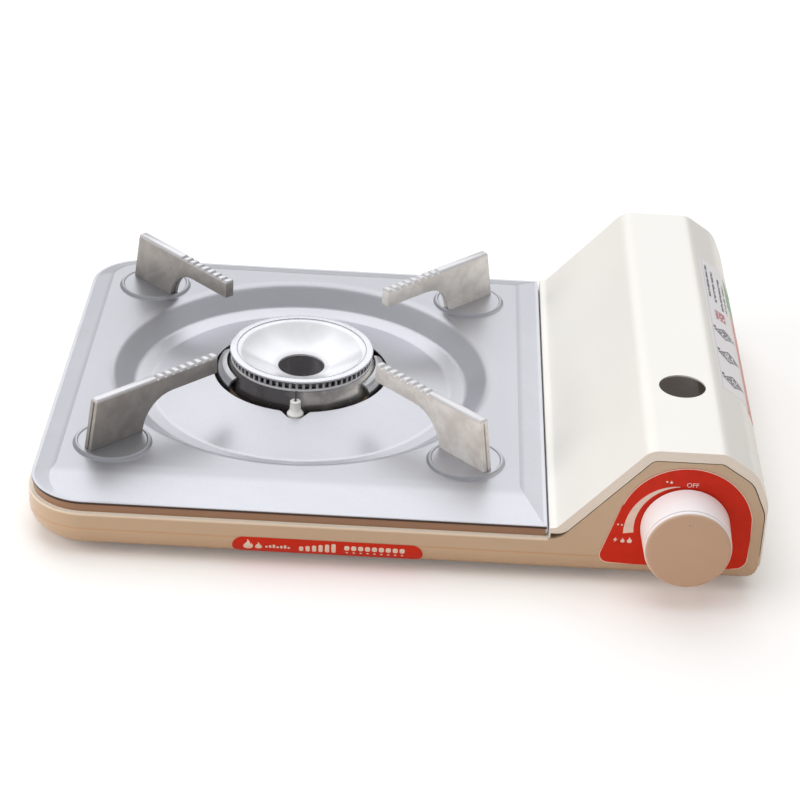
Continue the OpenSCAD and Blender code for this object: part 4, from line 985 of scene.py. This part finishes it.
class STOVE_OT_knob(bpy.types.Operator):
    """Spins the knob with a rounded front edge, a groove and a pointer dimple"""
    bl_idname = "stove.knob"
    bl_label = "Control knob"

    def execute(self, context):
        low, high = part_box("control_knob")
        radius, front, back = outer_radius("control_knob"), low.y, high.y
        edge, draft = sizes().knob_edge, sizes().knob_draft
        hub, bore = 6.4 * MM, 3.95 * MM
        ceiling, bore_end = front + 2.4 * MM, front + 6 * MM
        groove_at, groove = front + edge + 0.3 * MM, 0.3 * MM

        def side(y, sunk=0):
            return radius - draft * (back - y) / (back - front) - sunk, y
        nose = side(front)[0]
        profile = [
            (0, front), (nose - edge, front),
            *arc((nose - edge, front + edge), edge, -80, 0, 9)[:-1],
            side(groove_at), side(groove_at + 0.15 * MM, groove),
            side(groove_at + 0.45 * MM, groove), side(groove_at + 0.6 * MM),
            side(back - 0.4 * MM), (radius - 0.4 * MM, back), (radius - 2.3 * MM, back),
            (nose - 1.6 * MM, ceiling), (hub, ceiling), (hub, back), (bore, back),
            (bore, bore_end), (0, bore_end),
        ]
        piece = turned("knob_cap", profile, KNOB, closed=False, upright=False, steps=160)
        self.dimple(piece, front)
        stand_for(piece, "control_knob")
        return {"FINISHED"}

    def dimple(self, piece, front):
        """Sinks the pointer's dimple into the knob's face."""
        bpy.ops.object.select_all(action="DESELECT")
        at = (KNOB.x, front - 0.2 * MM, KNOB.z + 14.2 * MM)
        bpy.ops.mesh.primitive_uv_sphere_add(radius=sizes().dimple, segments=24,
                                             ring_count=12, location=at)
        cutter = bpy.context.object
        apply_modifier(piece, "BOOLEAN", operation="DIFFERENCE", object=cutter, solver="EXACT")
        bpy.data.objects.remove(cutter)
        smooth(piece, 30)


class STOVE_OT_marks(bpy.types.Operator):
    """Prints the flame scale and its signs on the control panel's red film"""
    bl_idname = "stove.marks"
    bl_label = "Control marks"

    def execute(self, context):
        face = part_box("control_decal")[0].y
        white = print_finish("white_ink", colours().white, 0.36)
        pale = print_finish("pale_ink", linear("F1DFD4"), 0.41)
        signs = ((bolt, -31.8, -9.0, 3.0), (flame, -28.4, -9.0, 2.7), (flame, -25.2, -8.8, 3.3),
                 (disc, -31.2, -0.5, 0.45), (flame, -29.4, -0.5, 1.2),
                 (disc, -10.6, 23.9, 0.5), (flame, -8.6, 23.9, 1.7))
        self.film(pale)
        printed("flame_scale", [flame_scale()], face, pale)
        printed("control_signs", [shape(at_knob(x, z), size * MM) for shape, x, z, size in signs],
                face, white)
        self.word("OFF", at_knob(1.4, 21.6), 3.3 * MM, face, white)
        return {"FINISHED"}

    def film(self, pale):
        """The red film, left unprinted along its outline."""
        def ahead(face):
            return face.normal.y < -0.9
        piece = merged("control_decal", "panel_film")
        edit(piece, lambda: bpy.ops.mesh.inset(thickness=sizes().film_edge), wanted=ahead)
        stand_for(piece, "control_decal")
        piece.data.materials.append(pale)
        for face in piece.data.polygons:
            if ahead(face) and not face.select:
                face.material_index = 1

    def word(self, text, at, size, face, finish):
        """A short word, set upright on the panel and pressed into a thin solid."""
        bpy.ops.object.select_all(action="DESELECT")
        bpy.ops.object.text_add()
        piece = bpy.context.object
        piece.data.body = text
        piece.data.size = size
        piece.data.align_x = "CENTER"
        piece.data.extrude = sizes().print_height / 2
        piece.rotation_euler = (math.radians(90), 0, 0)
        piece.location = (at[0], face, at[1])
        bpy.ops.object.convert(target="MESH")
        bpy.ops.object.transform_apply(location=True, rotation=True, scale=True)
        piece = bpy.context.object
        piece.name = piece.data.name = "off_sign"
        piece.data.materials.clear()
        edit(piece, lambda: bpy.ops.mesh.remove_doubles(threshold=1e-6))
        ride_on(piece, "control_decal", finish)


class STOVE_OT_front_marks(bpy.types.Operator):
    """Prints flames, bars and rules on the red label along the front"""
    bl_idname = "stove.front_marks"
    bl_label = "Front label marks"

    def execute(self, context):
        low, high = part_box("front_label")
        left, middle = low.x, (low.z + high.z) / 2 + 0.9 * MM
        shapes = [flame((left + 7.5 * MM, middle + 0.2 * MM), 6.4 * MM),
                  flame((left + 12.4 * MM, middle - 0.3 * MM), 4.6 * MM)]

        def row(count, start, pitch, foot, width, height):
            """Adds a row of bars in millimetres, with the height of each from its number."""
            for i in range(count):
                x, z = left + (start + i * pitch) * MM, middle + foot * MM
                shapes.append(bar(x, z, width * MM, height(i) * MM))
        row(7, 15.6, 1.75, -1.6, 1.2, lambda i: 1.3 + 0.5 * (i % 3))
        row(6, 31.5, 3.05, -2.9, 2.0, lambda i: 3.4 + 0.5 * i)
        row(9, 52.8, 3.25, -0.6, 2.4, lambda i: 2.9)
        row(9, 53.5, 3.25, -2.8, 1.1, lambda i: 1.0)
        piece = drawn("front_signs", shapes, low.y - 2 * MM)
        self.bend(piece, middle)
        ride_on(piece, "front_label", print_finish("label_ink", colours().white, 0.36))
        return {"FINISHED"}

    def bend(self, piece, middle):
        """Cuts the flat shapes into strips, lays them on the label and thickens them."""
        strip = 0.8 * MM
        for i in range(-3, 5):
            edit(piece, lambda: bpy.ops.mesh.bisect(plane_co=(0, 0, middle + i * strip),
                                                    plane_no=(0, 0, 1)))
        apply_modifier(piece, "SHRINKWRAP", target=frame["nodes"]["front_label"],
                       wrap_method="PROJECT", use_project_x=False, use_project_y=True,
                       use_positive_direction=True, use_negative_direction=False,
                       offset=0.01 * MM)
        edit(piece, bpy.ops.mesh.flip_normals, wanted=lambda face: face.normal.y > 0)
        apply_modifier(piece, "SOLIDIFY", thickness=sizes().print_height, offset=1)


class STOVE_OT_stage(bpy.types.Operator):
    """Lays the floor, hangs the lamps, lights the world and sets the camera"""
    bl_idname = "stove.stage"
    bl_label = "Stage and camera"

    def execute(self, context):
        self.floor()
        self.lamps()
        self.world()
        self.camera()
        context.scene.view_settings.view_transform = "Standard"
        return {"FINISHED"}

    def floor(self):
        """A pale floor that looks white and sends a warm light up to the fronts."""
        bpy.ops.object.select_all(action="DESELECT")
        bpy.ops.mesh.primitive_plane_add(size=8, location=(0, 0, TABLE_Z - 0.1 * MM))
        floor = bpy.context.object
        floor.name = "floor"
        white = (1, 1, 1)
        finish = Finish("floor_paint", white, Roughness=0.9, Emission_Strength=1)
        bounce = finish.node("ShaderNodeLightPath", output="Is Diffuse Ray")
        finish.drive("Base Color", finish.mix(bounce, white, linear("ECCDAE")))
        seen = finish.node("ShaderNodeLightPath", output="Is Camera Ray")
        far = finish.radius().step(0.45, 1.1)
        finish.drive("Emission Color", finish.mix(seen * (0.1 + far * 0.9), (0, 0, 0), white))
        floor.data.materials.append(finish.material)

    def lamps(self):
        """A softbox behind, a warm fill, and two broad lamps that metal doesn't mirror."""
        power = studio()
        lamps = (
            ("window", (-0.15, 1.35, 1.45), (2.2, 2.0), power.window_power, (1, 1, 1)),
            ("overhead", (0, -0.2, 1.9), (1.6, 1.6), power.overhead_power, (1, 0.995, 0.985)),
            ("side", (-1.5, -0.6, 0.8), (1.2, 1.2), power.side_power, (1, 0.99, 0.975)),
            ("fill", (0.5, -1.7, 0.5), (1.0, 1.0), power.fill_power, (1, 0.9, 0.76)),
        )
        for name, place, size, watts, tone in lamps:
            bpy.ops.object.light_add(type="AREA", location=place)
            lamp = bpy.context.object
            lamp.name = lamp.data.name = name
            aim = Vector((0, 0, 0.03)) - Vector(place)
            lamp.rotation_euler = aim.to_track_quat("-Z", "Y").to_euler()
            lamp.data.shape = "RECTANGLE"
            lamp.data.size, lamp.data.size_y = size
            lamp.data.energy = watts
            lamp.data.color = tone
            lamp.visible_glossy = name in ("window", "fill")

    def world(self):
        """White to the camera and behind glass, grey in reflections, softer as a light."""
        world = bpy.data.worlds.new("studio")
        bpy.context.scene.world = world
        world.use_nodes = True
        nodes, links = world.node_tree.nodes, world.node_tree.links
        nodes.clear()

        def added(kind, *sources):
            made = nodes.new(kind)
            for socket, source in zip(made.inputs, sources):
                links.new(source, socket)
            return made

        def background(tone, strength):
            made = added("ShaderNodeBackground")
            made.inputs["Color"].default_value = (*tone, 1)
            made.inputs["Strength"].default_value = strength
            return made.outputs[0]
        path = added("ShaderNodeLightPath").outputs
        seen = added("ShaderNodeMath", path["Is Camera Ray"], path["Is Transmission Ray"])
        seen.operation = "MAXIMUM"
        light = background((1, 0.995, 0.985), studio().world_light)
        mirrored = background((0.93, 0.94, 0.97), studio().world_glossy)
        lit = added("ShaderNodeMixShader", path["Is Glossy Ray"], light, mirrored)
        whole = added("ShaderNodeMixShader", seen.outputs[0], lit.outputs[0],
                      background((1, 1, 1), 1))
        added("ShaderNodeOutputWorld", whole.outputs[0])

    def camera(self):
        """The camera, looking down at the stove from in front."""
        pitch, yaw, roll = (math.radians(a) for a in (CAMERA_PITCH, CAMERA_YAW, CAMERA_ROLL))
        forward = Vector((math.sin(yaw) * math.cos(pitch), math.cos(yaw) * math.cos(pitch),
                          -math.sin(pitch)))
        right = Vector((math.cos(yaw), -math.sin(yaw), 0))
        down = forward.cross(right)
        across = right * math.cos(roll) + down * math.sin(roll)
        below = down * math.cos(roll) - right * math.sin(roll)
        turn = Matrix((across, -below, -forward)).transposed()
        bpy.ops.object.camera_add(location=CAMERA_AT)
        camera = bpy.context.object
        camera.matrix_world = Matrix.Translation(CAMERA_AT) @ turn.to_4x4()
        camera.data.lens = CAMERA_LENS
        camera.data.shift_x = CAMERA_SHIFT_X
        camera.data.clip_start = 0.01
        bpy.context.scene.camera = camera


class STOVE_PT_pieces(bpy.types.Panel):
    """Lists the settings, and the stove's operators in the order in which they run"""
    bl_label = "Stove"
    bl_idname = "STOVE_PT_pieces"
    bl_space_type = "VIEW_3D"
    bl_region_type = "UI"
    bl_category = "Stove"

    def draw(self, context):
        for group in GROUPS:
            settings = getattr(context.scene, group)
            for name in settings.bl_rna.properties.keys():
                if name not in {"rna_type", "name"}:
                    self.layout.prop(settings, name)
        for operator in OPERATORS:
            self.layout.operator(operator.bl_idname)


GROUPS = {"stove_sizes": StoveSizes, "stove_colours": StoveColours,
          "stove_studio": StudioSettings}
OPERATORS = (STOVE_OT_finishes, STOVE_OT_case, STOVE_OT_plate, STOVE_OT_supports,
             STOVE_OT_burner, STOVE_OT_lid, STOVE_OT_knob, STOVE_OT_marks,
             STOVE_OT_front_marks, STOVE_OT_stage)
CLASSES = (*GROUPS.values(), *OPERATORS, STOVE_PT_pieces)


def register():
    """Registers the groups, operators and panel."""
    for kind in CLASSES:
        bpy.utils.register_class(kind)
    for name, group in GROUPS.items():
        setattr(bpy.types.Scene, name, bpy.props.PointerProperty(type=group))


def unregister():
    """Takes away what register added."""
    for name in GROUPS:
        delattr(bpy.types.Scene, name)
    for kind in reversed(CLASSES):
        bpy.utils.unregister_class(kind)


def main():
    """Runs every operator in order."""
    register()
    for operator in OPERATORS:
        group, name = operator.bl_idname.split(".")
        getattr(getattr(bpy.ops, group), name)()


if __name__ == "__main__":
    main()
